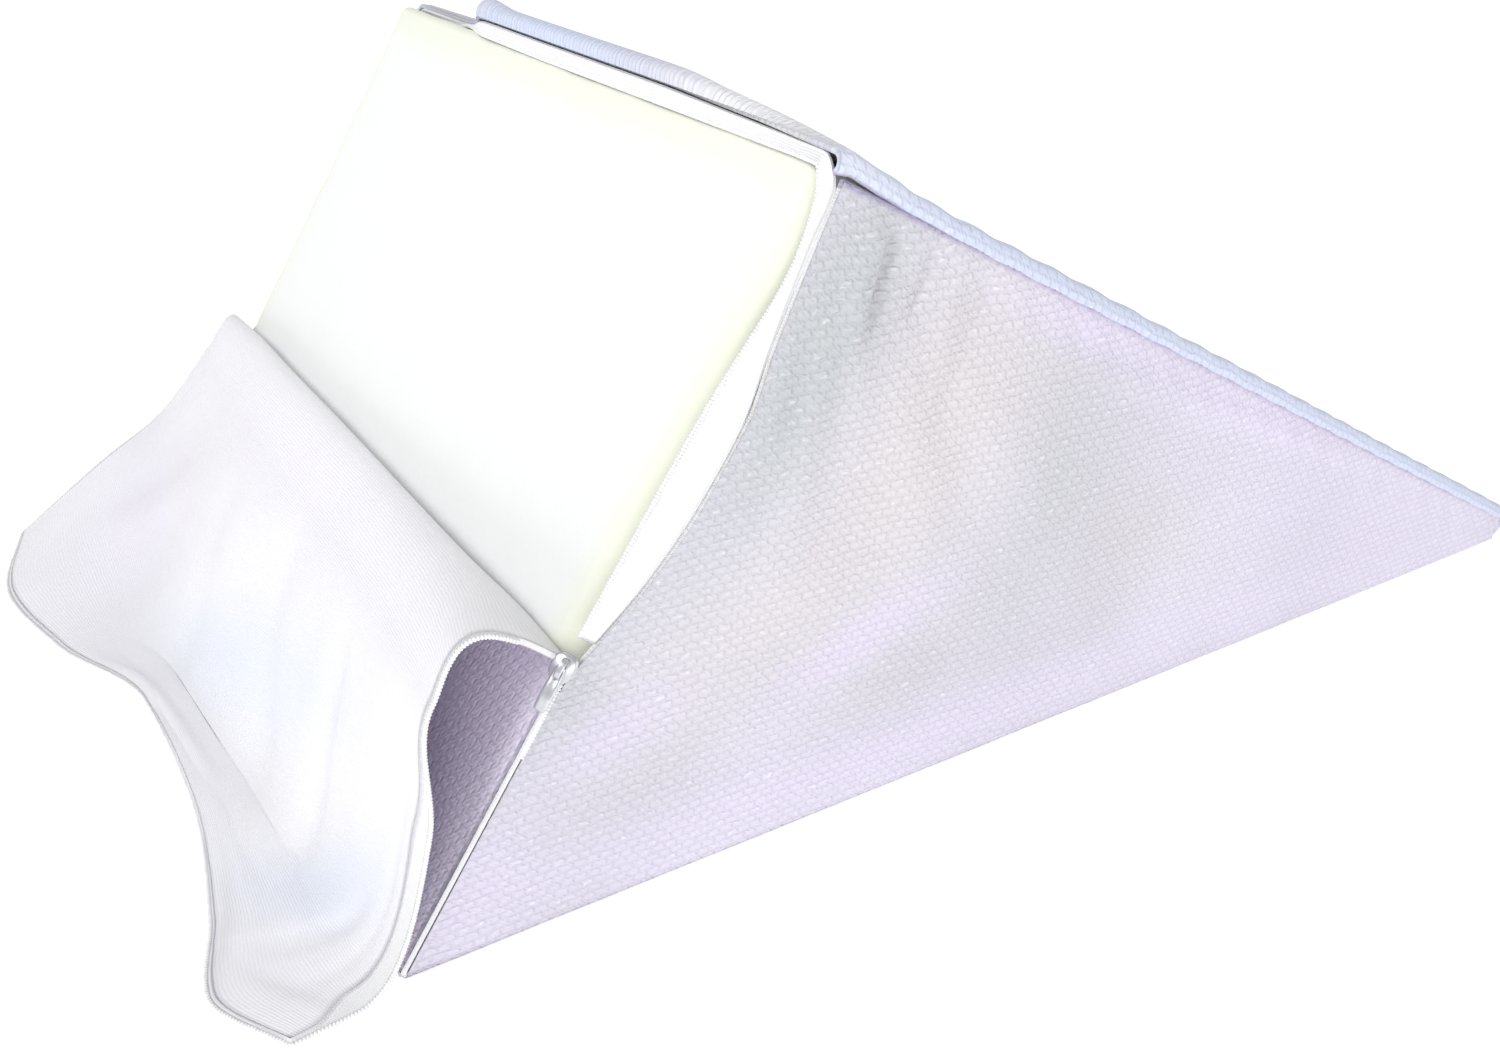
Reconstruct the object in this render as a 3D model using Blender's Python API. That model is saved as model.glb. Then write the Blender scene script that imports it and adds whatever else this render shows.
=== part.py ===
"""Wedge pillow with its zipped cover opened: a foam wedge, four sewn cover panels and one panel folded down.

The pillow rests on its longest face. Its opened face leans back from the bottom seam (x = -BASE / 2) to
the ridge, and the unzipped panel rises from that seam, folds outward and hangs to the floor.

Row frame: origin at the middle of the resting face, +X towards the thin edge, +Y across the width away
from the slider's side, +Z up. Metres.
"""

import math
from collections import namedtuple

import bmesh
import bpy
import numpy as np
from mathutils import Matrix, Vector

# Driving dimensions of the wedge
WIDTH = 0.437
BACK_HEIGHT = 0.300  # the opened face, from the bottom seam up to the ridge
TOP_LENGTH = 0.526  # from the ridge down to where the thin edge would be if it were sharp
APEX_ANGLE = math.radians(95)

# Cloth, tape and sewing
CLOTH = 0.0020
TAPE = 0.0012
GAP = 0.0004
TAPE_GAP = 0.0009  # between a cloth's edge and the tape along it
SEAM_DROP = 0.0056  # the top panel comes this far down each side before it meets the side panel
WRAP_RADIUS = 0.0048
TIP_RADIUS = 0.0100
TAPE_WIDTH = 0.012

# Foam
FOAM_EDGE_RADIUS = 0.014
FOAM_CORNER_RADIUS = 0.008
FOAM_SIDE_CLEARANCE = 0.0038
FOAM_PANEL_CLEARANCE = CLOTH + GAP

# Worked out from the driving dimensions
BASE = math.sqrt(
    BACK_HEIGHT**2 + TOP_LENGTH**2 - 2 * BACK_HEIGHT * TOP_LENGTH * math.cos(APEX_ANGLE)
)
FOOT = (BACK_HEIGHT**2 + BASE**2 - TOP_LENGTH**2) / (2 * BASE)
RISE = math.sqrt(BACK_HEIGHT**2 - FOOT**2)
FACE_UP = np.array([FOOT, RISE]) / BACK_HEIGHT
FACE_OUT = np.array([-RISE, FOOT]) / BACK_HEIGHT
TOP_ALONG = np.array([BASE - FOOT, -RISE]) / TOP_LENGTH
TOP_OUT = np.array([RISE, BASE - FOOT]) / TOP_LENGTH
TIP_ANGLE = math.atan2(RISE, BASE - FOOT)
TIP_TANGENT = TIP_RADIUS / math.tan(TIP_ANGLE / 2)

# The opened panel, a row for each section across the width. Lengths run from the bottom seam: crest is
# how far up the face the cloth goes, then x and z of the fold's top, its outer shoulder, the hanging
# cloth's middle and its foot on the floor, and x, y and z of the free end.
Section = namedtuple(
    "Section",
    "across crest top_x top_z shoulder_x shoulder_z middle_x middle_z foot_x foot_z end_x end_y end_z",
)
FLAP = (
    Section(0.000, 0.127, 0.044, 0.121, 0.023, 0.104, 0.016, 0.058, -0.009, 0.004, -0.038, -0.009, 0.001),
    Section(0.035, 0.126, 0.050, 0.117, 0.026, 0.099, 0.013, 0.055, -0.013, 0.003, -0.057, 0.021, 0.004),
    Section(0.080, 0.122, 0.053, 0.112, 0.029, 0.093, 0.010, 0.052, -0.016, 0.002, -0.050, 0.056, 0.003),
    Section(0.150, 0.117, 0.054, 0.106, 0.030, 0.086, 0.003, 0.047, -0.024, 0.001, -0.044, 0.122, 0.001),
    Section(0.230, 0.112, 0.053, 0.101, 0.028, 0.079, -0.003, 0.042, -0.034, 0.001, -0.050, 0.205, 0.002),
    Section(0.310, 0.107, 0.051, 0.096, 0.027, 0.074, -0.006, 0.040, -0.043, 0.004, -0.078, 0.268, 0.003),
    Section(0.380, 0.102, 0.050, 0.092, 0.028, 0.072, -0.002, 0.043, -0.043, 0.016, -0.094, 0.334, 0.004),
    Section(0.437, 0.097, 0.048, 0.087, 0.031, 0.072, 0.000, 0.046, -0.041, 0.029, -0.083, 0.385, 0.007),
)
FLAP_START = 0.0034  # up the face, where the cloth leaves the bottom seam
FLAP_OFF = 0.0016  # how far the lower part's middle layer stands off the foam
FLAP_SWING = (0.0, 0.0, 0.0, 0.0, 0.1, 0.35, 0.7, 1.0)  # share of the sideways shift at each control point
FLAP_STEPS = (3, 5, 6, 5, 5, 6, 6)  # cells between one control point and the next
FLAP_COLUMNS = 26

# The side panels' free edges: up the face, how far the edge is drawn back from the face, and how far it
# stands out from the side. The near one gapes round the zip, and the far one has slipped behind the foam.
Gape = namedtuple("Gape", "up back out")
NEAR_GAPE = (
    Gape(0.000, 0.0000, 0.0000),
    Gape(0.080, 0.0000, 0.0000),
    Gape(0.110, 0.0004, 0.0000),
    Gape(0.137, 0.0050, 0.0020),
    Gape(0.160, 0.0090, 0.0045),
    Gape(0.190, 0.0115, 0.0060),
    Gape(0.215, 0.0115, 0.0060),
    Gape(0.240, 0.0080, 0.0045),
    Gape(0.265, 0.0060, 0.0025),
    Gape(0.300, 0.0030, 0.0005),
)
FAR_GAPE = (
    Gape(0.000, 0.0000, 0.0000),
    Gape(0.040, 0.0000, 0.0000),
    Gape(0.070, 0.0004, 0.0000),
    Gape(0.110, 0.0090, 0.0015),
    Gape(0.150, 0.0160, 0.0025),
    Gape(0.250, 0.0170, 0.0025),
    Gape(0.300, 0.0150, 0.0010),
)

# Folds of the near side panel that fan out from the ridge: angle from the opened face, where the fold
# starts and ends below the ridge, its half width at mid length, and its height
Fold = namedtuple("Fold", "angle start end half_width height")
FOLDS = (
    Fold(math.radians(13), 0.015, 0.120, 0.008, 0.0030),
    Fold(math.radians(24), 0.010, 0.150, 0.009, 0.0035),
    Fold(math.radians(37), 0.012, 0.110, 0.008, 0.0030),
    Fold(math.radians(50), 0.020, 0.200, 0.014, 0.0025),
    Fold(math.radians(66), 0.040, 0.260, 0.018, 0.0020),
)
CROWN = 0.0025  # how far the middle of a cover panel stands out

# The top panel's free edge: across, how far it comes forward over the ridge (negative where it is drawn
# back), and how high it stands
Lip = namedtuple("Lip", "across forward height")
LIP = (
    Lip(0.000, 0.000, 0.0015),
    Lip(0.040, 0.001, 0.0050),
    Lip(0.075, 0.002, 0.0070),
    Lip(0.110, 0.003, 0.0090),
    Lip(0.200, 0.003, 0.0095),
    Lip(0.270, 0.003, 0.0100),
    Lip(0.300, 0.004, 0.0120),
    Lip(0.330, -0.006, 0.0040),
    Lip(0.370, -0.012, 0.0030),
    Lip(0.430, -0.012, 0.0025),
)

# The cover's zip tape around the opening: where its toothed edge lies. Up and off are measured on the
# opened face's plane.
Teeth = namedtuple("Teeth", "up off across")
NEAR_TEETH = (
    Teeth(0.133, 0.0020, 0.0010),
    Teeth(0.160, 0.0015, 0.0010),
    Teeth(0.190, 0.0010, 0.0010),
    Teeth(0.215, 0.0005, 0.0005),
    Teeth(0.240, -0.0020, 0.0010),
    Teeth(0.258, -0.0040, 0.0020),
    Teeth(0.275, -0.0035, 0.0035),
    Teeth(0.290, -0.0005, 0.0060),
)
TOP_TEETH = (
    Teeth(0.2970, 0.0015, 0.010),
    Teeth(0.2985, 0.0033, 0.024),
    Teeth(0.2990, 0.0035, 0.040),
    Teeth(0.3002, 0.0035, 0.066),
    Teeth(0.3010, -0.0060, 0.090),
    Teeth(0.3010, -0.0070, 0.200),
    Teeth(0.3010, -0.0060, 0.295),
    Teeth(0.3003, -0.0150, 0.335),
    Teeth(0.3002, -0.0170, 0.380),
    Teeth(0.3002, -0.0180, 0.424),
)
FAR_TEETH = (
    Teeth(0.291, -0.0220, WIDTH - 0.0026),
    Teeth(0.280, -0.0240, WIDTH - 0.0024),
    Teeth(0.250, -0.0250, WIDTH - 0.0021),
    Teeth(0.200, -0.0250, WIDTH - 0.0018),
    Teeth(0.150, -0.0240, WIDTH - 0.0018),
    Teeth(0.115, -0.0170, WIDTH - 0.0021),
)
COVER_TAPE_ROWS = 90

# Slider and pull tab, standing diagonally on the near seam's corner at the end of the opening
SLIDER_UP = 0.1225
SLIDER_LIFT = 0.0022
SLIDER_SIZE = (0.0080, 0.0032, 0.0100)
PULL_DROP = 0.0075
PULL_SIZE = (0.0048, 0.0012, 0.0170)


def place(x, across, z):
    """Points given from the bottom seam's near end, in the row frame."""
    return np.stack(np.broadcast_arrays(x - BASE / 2, across - WIDTH / 2, z), -1)


def on_face(up, off, across):
    """Points up the opened face, off it and across the width, in the row frame."""
    up, off = np.asarray(up, float), np.asarray(off, float)
    return place(up * FACE_UP[0] + off * FACE_OUT[0], across, up * FACE_UP[1] + off * FACE_OUT[1])


def on_top(along, height, across):
    """Points down the top face from the ridge, above it and across the width, in the row frame."""
    along, height = np.asarray(along, float), np.asarray(height, float)
    x = FOOT + along * TOP_ALONG[0] + height * TOP_OUT[0]
    return place(x, across, RISE + along * TOP_ALONG[1] + height * TOP_OUT[1])


def even_slopes(knots, values):
    """Slopes at the knots that let a smooth curve pass the values without swinging beyond them."""
    spans = np.diff(knots).reshape(-1, *(1,) * (values.ndim - 1))
    rates = np.diff(values, axis=0) / spans
    before, after = rates[:-1], rates[1:]
    total = before + after
    same_way = before * after > 0
    inner = np.where(same_way, 2 * before * after / np.where(same_way, total, 1.0), 0.0)
    return np.concatenate([rates[:1], inner, rates[-1:]])


def hermite(knots, values, at):
    """A smooth curve through the values at the knots, read at each place."""
    knots, values = np.asarray(knots, float), np.asarray(values, float)
    at = np.clip(np.asarray(at, float), knots[0], knots[-1])
    slopes = even_slopes(knots, values)
    first = np.clip(np.searchsorted(knots, at, side="right") - 1, 0, len(knots) - 2)
    width = knots[first + 1] - knots[first]
    share = (at - knots[first]) / width
    more = (1,) * (values.ndim - 1)
    width, share = width.reshape(width.shape + more), share.reshape(share.shape + more)
    return blend(values[first], slopes[first] * width, values[first + 1], slopes[first + 1] * width, share)


def blend(start, start_slope, end, end_slope, share):
    """The cubic between two values with the given slopes."""
    square, cube = share**2, share**3
    start_part = start * (2 * cube - 3 * square + 1) + start_slope * (cube - 2 * square + share)
    return start_part + end * (3 * square - 2 * cube) + end_slope * (cube - square)


def column(rows, name):
    return np.array([getattr(row, name) for row in rows])


def material(name, colour, roughness, metallic=0.0):
    """A Principled material with one colour."""
    made = bpy.data.materials.new(name)
    made.use_nodes = True
    shader = made.node_tree.nodes["Principled BSDF"]
    shader.inputs["Base Color"].default_value = (*colour, 1.0)
    shader.inputs["Roughness"].default_value = roughness
    shader.inputs["Metallic"].default_value = metallic
    return made


def add_object(name, mesh_data, finish):
    """A new object from a bmesh, smooth except at its real edges."""
    bmesh.ops.recalc_face_normals(mesh_data, faces=mesh_data.faces)
    mesh = bpy.data.meshes.new(name)
    mesh_data.to_mesh(mesh)
    mesh_data.free()
    mesh.shade_smooth()
    mesh.set_sharp_from_angle(angle=math.radians(50))
    mesh.materials.append(finish)
    made = bpy.data.objects.new(name, mesh)
    bpy.context.scene.collection.objects.link(made)
    return made


def layer_normals(middle):
    """Unit normals of a grid of points."""
    normals = np.cross(np.gradient(middle, axis=0), np.gradient(middle, axis=1))
    return normals / np.linalg.norm(normals, axis=2, keepdims=True)


def add_sheet(name, middle, thickness, finish):
    """A closed sheet of even thickness on a grid of its middle layer's points."""
    rows, columns = middle.shape[:2]
    offset = layer_normals(middle) * thickness / 2
    data = bmesh.new()
    sides = []
    for layer in (middle + offset, middle - offset):
        sides.append([[data.verts.new(point) for point in row] for row in layer])
    for i in range(rows - 1):
        for j in range(columns - 1):
            for side in sides:
                data.faces.new((side[i][j], side[i + 1][j], side[i + 1][j + 1], side[i][j + 1]))
    rim = [(i, 0) for i in range(rows)] + [(rows - 1, j) for j in range(1, columns)]
    rim += [(i, columns - 1) for i in range(rows - 2, -1, -1)] + [(0, j) for j in range(columns - 2, 0, -1)]
    for (i, j), (k, m) in zip(rim, rim[1:] + rim[:1]):
        data.faces.new((sides[0][i][j], sides[0][k][m], sides[1][k][m], sides[1][i][j]))
    return add_object(name, data, finish)


def rounded_polygon(corners, inset, radius, steps):
    """A convex outline moved inward, with an arc at each corner."""
    points = []
    for before, corner, after in zip(np.roll(corners, 1, 0), corners, np.roll(corners, -1, 0)):
        back, ahead = before - corner, after - corner
        back, ahead = back / np.linalg.norm(back), ahead / np.linalg.norm(ahead)
        middle = (back + ahead) / np.linalg.norm(back + ahead)
        half = math.acos(float(back @ ahead)) / 2
        centre = corner + middle * (inset + radius) / math.sin(half)
        turn = math.pi / 2 - half
        start = math.atan2(-middle[1], -middle[0])
        sense = 1.0 if back[0] * ahead[1] < back[1] * ahead[0] else -1.0
        for angle in np.linspace(-turn, turn, steps + 1) * sense + start:
            points.append(centre + radius * np.array([math.cos(angle), math.sin(angle)]))
    return points


def add_foam(finish):
    """The foam wedge: rounded triangles across the width, drawn in at both ends to round its edges."""
    inner = FOAM_PANEL_CLEARANCE
    low = inner / FACE_UP[1]
    top_inset = inner / math.sin(APEX_ANGLE)
    tip = BASE - inner / math.tan(TIP_ANGLE / 2)
    corners = np.array(
        [
            FACE_UP * low,
            FACE_UP * (BACK_HEIGHT - top_inset),
            [tip, inner],
        ]
    )
    angles = np.linspace(0, math.pi / 2, 7)
    ends = [(FOAM_EDGE_RADIUS * (1 - math.cos(a)), FOAM_EDGE_RADIUS * (1 - math.sin(a))) for a in angles]
    first = FOAM_SIDE_CLEARANCE
    stations = [(first + along, inset) for along, inset in ends]
    stations += [(WIDTH - first - along, inset) for along, inset in reversed(ends)]
    data = bmesh.new()
    rings = []
    for across, inset in stations:
        radius = max(FOAM_CORNER_RADIUS - inset / 2, FOAM_CORNER_RADIUS / 2)
        outline = rounded_polygon(corners, inset, radius, 5)
        rings.append([data.verts.new(place(x, across, z)) for x, z in outline])
    for ring, following in zip(rings, rings[1:]):
        for i in range(len(ring)):
            j = (i + 1) % len(ring)
            data.faces.new((ring[i], ring[j], following[j], following[i]))
    data.faces.new(rings[0])
    data.faces.new(rings[-1])
    return add_object("foam_core", data, finish)


def add_base_panel(finish):
    """The panel that the pillow rests on, flat from the bottom seam to the thin edge."""
    x = np.linspace(0.0, BASE - TIP_TANGENT - 2 * GAP, 3)
    across = np.linspace(0.0, WIDTH, 3)
    return add_sheet("base_panel", place(x[:, None], across[None, :], CLOTH / 2), CLOTH, finish)


def top_profile(lip_forward, lip_height):
    """Along and height of the top panel's middle layer from its free edge to the thin edge's seam."""
    half = CLOTH / 2
    edge_height = min(lip_height * 0.3, 0.0030)
    steep = min(max((lip_height - 0.003) / 0.006, 0.0), 1.0)
    controls = np.array(
        [
            [-lip_forward, edge_height],
            [0.0030 - 0.0040 * steep - lip_forward, (edge_height + lip_height) / 2],
            [0.0060 - 0.0035 * steep - lip_forward, lip_height],
            [0.020 + max(-lip_forward, 0.0), lip_height * 0.4],
            [0.060, -half],
            [0.200, -half],
            [TOP_LENGTH - TIP_TANGENT, -half],
        ]
    )
    knots = np.array([0, 3, 6, 9, 12, 14, 19])
    profile = hermite(knots, controls, np.arange(knots[-1] + 1))
    profile[:, 1] = np.maximum(profile[:, 1], -half)
    return profile


def add_top_panel(finish):
    """The panel from the ridge to the thin edge: it wraps over both sides and round the thin edge."""
    quarter = np.linspace(0, math.pi / 2, 5)
    wrap = [(CLOTH / 2 + WRAP_RADIUS * (1 - math.cos(a)), WRAP_RADIUS * (1 - math.sin(a))) for a in quarter]
    near = [(CLOTH / 2, SEAM_DROP)] + wrap
    far = [(WIDTH - across, drop) for across, drop in reversed(near)]
    flat = [(across, 0.0) for across in np.linspace(near[-1][0], far[0][0], 20)[1:-1]]
    rows = []
    for across, drop in near + flat + far:
        forward = float(hermite(column(LIP, "across"), column(LIP, "forward"), across))
        height = float(hermite(column(LIP, "across"), column(LIP, "height"), across))
        profile = top_profile(forward, height)
        down = np.clip(profile[:, 0] / (TOP_LENGTH - TIP_TANGENT), 0, 1)
        crown = CROWN * math.sin(math.pi * across / WIDTH) * np.sin(math.pi * down)
        straight = on_top(profile[:, 0], profile[:, 1] + crown - drop, across)
        turns = np.linspace(0, math.pi - TIP_ANGLE, 7)[1:]
        radius = TIP_RADIUS - CLOTH / 2 - drop
        angles = math.atan2(TOP_OUT[1], TOP_OUT[0]) - turns
        x = BASE - TIP_TANGENT + radius * np.cos(angles)
        rows.append(np.concatenate([straight, place(x, across, TIP_RADIUS + radius * np.sin(angles))]))
    return add_sheet("top_panel", np.array(rows), CLOTH, finish)


def fold_height(x, z):
    """Height of the folds that fan out from the ridge, at points of the side panel."""
    below = np.stack([x - FOOT, z - RISE], -1)
    distance = np.linalg.norm(below, axis=-1)
    down_face = -FACE_UP
    angle = np.arccos(np.clip((below @ down_face) / np.maximum(distance, 1e-6), -1, 1))
    height = np.zeros_like(distance)
    for fold in FOLDS:
        share = np.clip((distance - fold.start) / (fold.end - fold.start), 0, 1)
        width = fold.half_width * (0.6 + 0.8 * share)
        across = (angle - fold.angle) * distance / width
        height += fold.height * np.sin(math.pi * share) * np.exp(-(across**2))
    return height


def gape_at(table, up):
    """How far a side panel's free edge is drawn back and stands out, up the face."""
    return hermite(column(table, "up"), np.stack([column(table, "back"), column(table, "out")], -1), up)


def side_grid(table, folded):
    """Middle layer of a side panel as x, distance out of the side, and z."""
    run = np.linspace(0, 1, 27) ** 1.2
    rise = np.linspace(0, 1, 20)
    tip_x = BASE - TIP_TANGENT - 0.0015
    low_z = CLOTH + 2 * GAP
    seam = FOOT * TOP_OUT[0] + RISE * TOP_OUT[1] - CLOTH / 2 - SEAM_DROP - GAP
    low_x = low_z * FACE_UP[0] / FACE_UP[1] + (tip_x - low_z * FACE_UP[0] / FACE_UP[1]) * run
    ridge_up = BACK_HEIGHT - (CLOTH / 2 + SEAM_DROP + GAP) / math.sin(APEX_ANGLE)
    high_x = ridge_up * FACE_UP[0] + (tip_x - ridge_up * FACE_UP[0]) * run
    high_z = (seam - high_x * TOP_OUT[0]) / TOP_OUT[1]
    x = low_x[:, None] + (high_x - low_x)[:, None] * rise[None, :]
    z = low_z + (high_z - low_z)[:, None] * rise[None, :]
    up = np.clip(rise * ridge_up, 0, BACK_HEIGHT)
    gape = gape_at(table, up)
    fade = np.clip(1 - run / 0.22, 0, 1)[:, None] ** 2
    x = x - gape[None, :, 0] * FACE_OUT[0] * fade
    z = z - gape[None, :, 0] * FACE_OUT[1] * fade
    inside = np.sin(math.pi * run)[:, None] * np.sin(math.pi * rise)[None, :]
    inside = inside * np.clip((high_z - low_z) / 0.1, 0, 1)[:, None]
    out = CROWN * inside + gape[None, :, 1] * fade
    if folded:
        out = out + fold_height(x, z) * np.clip(run / 0.05, 0, 1)[:, None]
    return x, out - CLOTH / 2, z


def add_side_panel(name, near, finish):
    """A triangular side panel, with its free edge gaping above the zip's end."""
    x, out, z = side_grid(NEAR_GAPE if near else FAR_GAPE, folded=near)
    across = -out if near else WIDTH + out
    return add_sheet(name, place(x, across, z), CLOTH, finish)


def flap_controls():
    """Control points of the opened panel, section by section, and how far along the cloth they lie."""
    rows = []
    for part in FLAP:
        shift = part.end_y - part.across
        across = part.across + shift * np.array(FLAP_SWING)
        lower = on_face([FLAP_START, part.crest * 0.55, part.crest * 0.97], FLAP_OFF, across[:3])
        x = np.array([part.top_x, part.shoulder_x, part.middle_x, part.foot_x, part.end_x])
        z = np.array([part.top_z, part.shoulder_z, part.middle_z, part.foot_z, part.end_z])
        rows.append(np.concatenate([lower, place(x, across[3:], z)]))
    rows = np.array(rows)
    steps = np.linalg.norm(np.diff(rows, axis=1), axis=2).mean(0)
    along = np.concatenate([[0], np.cumsum(steps)])
    return rows, along / along[-1], along[-1]


FLAP_POINTS, FLAP_KNOTS, FLAP_LENGTH = flap_controls()
OPEN_FROM = FLAP_KNOTS[2]  # the zip is open beyond the crest


def flap_points(across, along):
    """Points of the opened panel's middle layer; both shares run from 0 to 1."""
    across, along = np.broadcast_arrays(np.asarray(across, float), np.asarray(along, float))
    controls = hermite(column(FLAP, "across"), FLAP_POINTS, across.ravel() * WIDTH)
    slopes = np.gradient(controls, FLAP_KNOTS, axis=1)
    at = np.clip(along.ravel(), 0, 1)
    first = np.clip(np.searchsorted(FLAP_KNOTS, at, side="right") - 1, 0, len(FLAP_KNOTS) - 2)
    width = (FLAP_KNOTS[first + 1] - FLAP_KNOTS[first])[:, None]
    share = (at - FLAP_KNOTS[first])[:, None] / width
    row = np.arange(len(at))
    ends = controls[row, first], slopes[row, first] * width
    following = controls[row, first + 1], slopes[row, first + 1] * width
    points = blend(*ends, *following, share)
    off = (points[:, 0] + BASE / 2) * FACE_OUT[0] + points[:, 2] * FACE_OUT[1]
    push = np.maximum(FLAP_OFF - off, 0)
    points[:, 0] += push * FACE_OUT[0]
    points[:, 2] = np.maximum(points[:, 2] + push * FACE_OUT[1], CLOTH / 2 + GAP / 2)
    return points.reshape(*across.shape, 3)


def add_flap(finish):
    """The opened panel: one cloth from the bottom seam over its fold to the floor."""
    along = flap_stops(0.0, 1 - (TAPE_WIDTH + TAPE_GAP) / FLAP_LENGTH)
    narrow = np.clip((along - OPEN_FROM) / 0.03, 0, 1) * (TAPE_WIDTH + TAPE_GAP) / WIDTH
    share = np.linspace(0, 1, FLAP_COLUMNS)[:, None]
    across = narrow + (1 - 2 * narrow) * share
    return add_sheet("opened_panel", flap_points(across, along[None, :]), CLOTH, finish)


def flap_stops(start, end):
    """Places along the opened panel where its cells meet, from start to end."""
    stops = [np.linspace(a, b, n + 1)[1:] for a, b, n in zip(FLAP_KNOTS, FLAP_KNOTS[1:], FLAP_STEPS)]
    stops = np.concatenate(stops)
    inside = stops[(stops > start + 0.01) & (stops < end - 0.01)]
    return np.concatenate([[start], inside, [end]])


def add_flap_tape(finish):
    """The zip tape sewn round the opened panel's three free edges."""
    wide, deep = TAPE_WIDTH / WIDTH, TAPE_WIDTH / FLAP_LENGTH
    side = flap_stops(OPEN_FROM + 0.035, 1 - deep)
    reach = np.linspace(side[0], 1.0, len(side))
    share = np.linspace(0, 1, FLAP_COLUMNS)[1:-1]
    still, full = np.ones_like(side), np.ones_like(share)
    foot = wide + (1 - 2 * wide) * share
    inner = ((wide * still, side), (foot, (1 - deep) * full), ((1 - wide) * still, side[::-1]))
    outer = ((0 * still, reach), (share, full), (still, reach[::-1]))
    inner, outer = (np.concatenate([np.stack(run, 1) for run in line]) for line in (inner, outer))
    rows = (inner, (inner + outer) / 2, outer)
    grid = np.stack([flap_points(row[:, 0], row[:, 1]) for row in rows], 1)
    return add_sheet("zip_tape_flap", grid, TAPE, finish)


def cover_edge(teeth, run):
    """Where the cover's cloth edge lies beside a point of the toothed edge."""
    if run == "top":
        forward = float(hermite(column(LIP, "across"), column(LIP, "forward"), teeth.across))
        height = float(hermite(column(LIP, "across"), column(LIP, "height"), teeth.across))
        edge = top_profile(forward, height)[0]
        return on_top(edge[0] - GAP, edge[1] - TAPE - 1.5 * GAP, teeth.across)
    back, out = gape_at(NEAR_GAPE if run == "near" else FAR_GAPE, teeth.up)
    if run == "near":
        return on_face(teeth.up, TAPE / 2 + TAPE_GAP - back, CLOTH / 2 - out)
    return on_face(teeth.up, TAPE - back, WIDTH + out - CLOTH - TAPE - TAPE_GAP)


def add_cover_tape(finish):
    """The zip tape round the cover's opening: up the near side, along the ridge and down the far side."""
    rows = []
    for run, table in (("near", NEAR_TEETH), ("top", TOP_TEETH), ("far", FAR_TEETH)):
        for teeth in table:
            rows.append((cover_edge(teeth, run), on_face(teeth.up, teeth.off, teeth.across)))
    rows = np.array(rows)
    steps = np.linalg.norm(np.diff(rows.mean(1), axis=0), axis=1)
    knots = np.concatenate([[0], np.cumsum(steps)])
    at = np.linspace(0, knots[-1], COVER_TAPE_ROWS)
    edge, teeth = hermite(knots, rows[:, 0], at), hermite(knots, rows[:, 1], at)
    return add_sheet("zip_tape_cover", np.stack([edge, (edge + teeth) / 2, teeth], 1), TAPE, finish)


def add_metal(name, size, up, lift, finish):
    """A small metal piece with rounded edges, lying along the face and turned halfway to the near side."""
    data = bmesh.new()
    bmesh.ops.create_cube(data, size=1.0)
    bmesh.ops.scale(data, vec=size, verts=data.verts)
    bmesh.ops.bevel(data, geom=data.edges, offset=min(size) * 0.3, segments=2, affect="EDGES")
    made = add_object(name, data, finish)
    rise = Vector((FACE_UP[0], 0, FACE_UP[1]))
    out = (Vector((FACE_OUT[0], 0, FACE_OUT[1])) + Vector((0, -1, 0))).normalized()
    corner = Vector(on_face(up, CLOTH + GAP, 0.0))
    turned = Matrix((out.cross(rise), out, rise)).transposed().to_4x4()
    made.matrix_world = Matrix.Translation(corner + out * lift) @ turned
    return made


def main():
    for left in list(bpy.data.objects):
        bpy.data.objects.remove(left, do_unlink=True)
    knit = material("knit_cover", (0.72, 0.70, 0.78), 0.85)
    inner_knit = material("opened_knit", (0.86, 0.85, 0.90), 0.85)
    foam = material("foam", (0.90, 0.92, 0.88), 0.9)
    tape = material("tape", (0.88, 0.88, 0.90), 0.7)
    metal = material("zip_metal", (0.75, 0.75, 0.76), 0.3, metallic=1.0)
    add_foam(foam)
    add_base_panel(knit)
    add_top_panel(knit)
    add_side_panel("side_panel_near", True, knit)
    add_side_panel("side_panel_far", False, knit)
    add_flap(inner_knit)
    add_flap_tape(tape)
    add_cover_tape(tape)
    pull_lift = SLIDER_LIFT + (SLIDER_SIZE[1] + PULL_SIZE[1]) / 2 + GAP
    add_metal("zip_slider", SLIDER_SIZE, SLIDER_UP, SLIDER_LIFT, metal)
    add_metal("zip_pull", PULL_SIZE, SLIDER_UP - PULL_DROP, pull_lift, metal)


main()
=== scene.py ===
"""Wedge pillow with its knit cover unzipped: looks for the foam, the cover panels and the zip.

Laid out as an add-on: each operator makes one piece or one group of like pieces on the fixed frame.
Lengths are in metres. Points up the opened face, off it and across the width start at the bottom seam.
"""

import math
from collections import namedtuple

import bpy
import numpy as np
from bpy.props import FloatProperty, FloatVectorProperty, PointerProperty
from mathutils import Matrix, Vector


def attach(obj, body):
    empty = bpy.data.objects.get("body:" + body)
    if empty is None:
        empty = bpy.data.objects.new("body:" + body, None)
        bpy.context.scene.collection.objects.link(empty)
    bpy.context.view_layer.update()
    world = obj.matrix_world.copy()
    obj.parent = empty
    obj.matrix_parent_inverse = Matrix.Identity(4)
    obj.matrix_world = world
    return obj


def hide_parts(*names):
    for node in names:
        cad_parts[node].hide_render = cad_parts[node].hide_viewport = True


bl_info = {
    "name": "Wedge Pillow, Cover Unzipped",
    "version": (1, 0, 0),
    "blender": (4, 5, 0),
    "location": "View3D > Sidebar > Wedge Pillow",
    "description": "Builds a foam wedge in an opened knit cover with its zip",
    "category": "Object",
}

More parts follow.
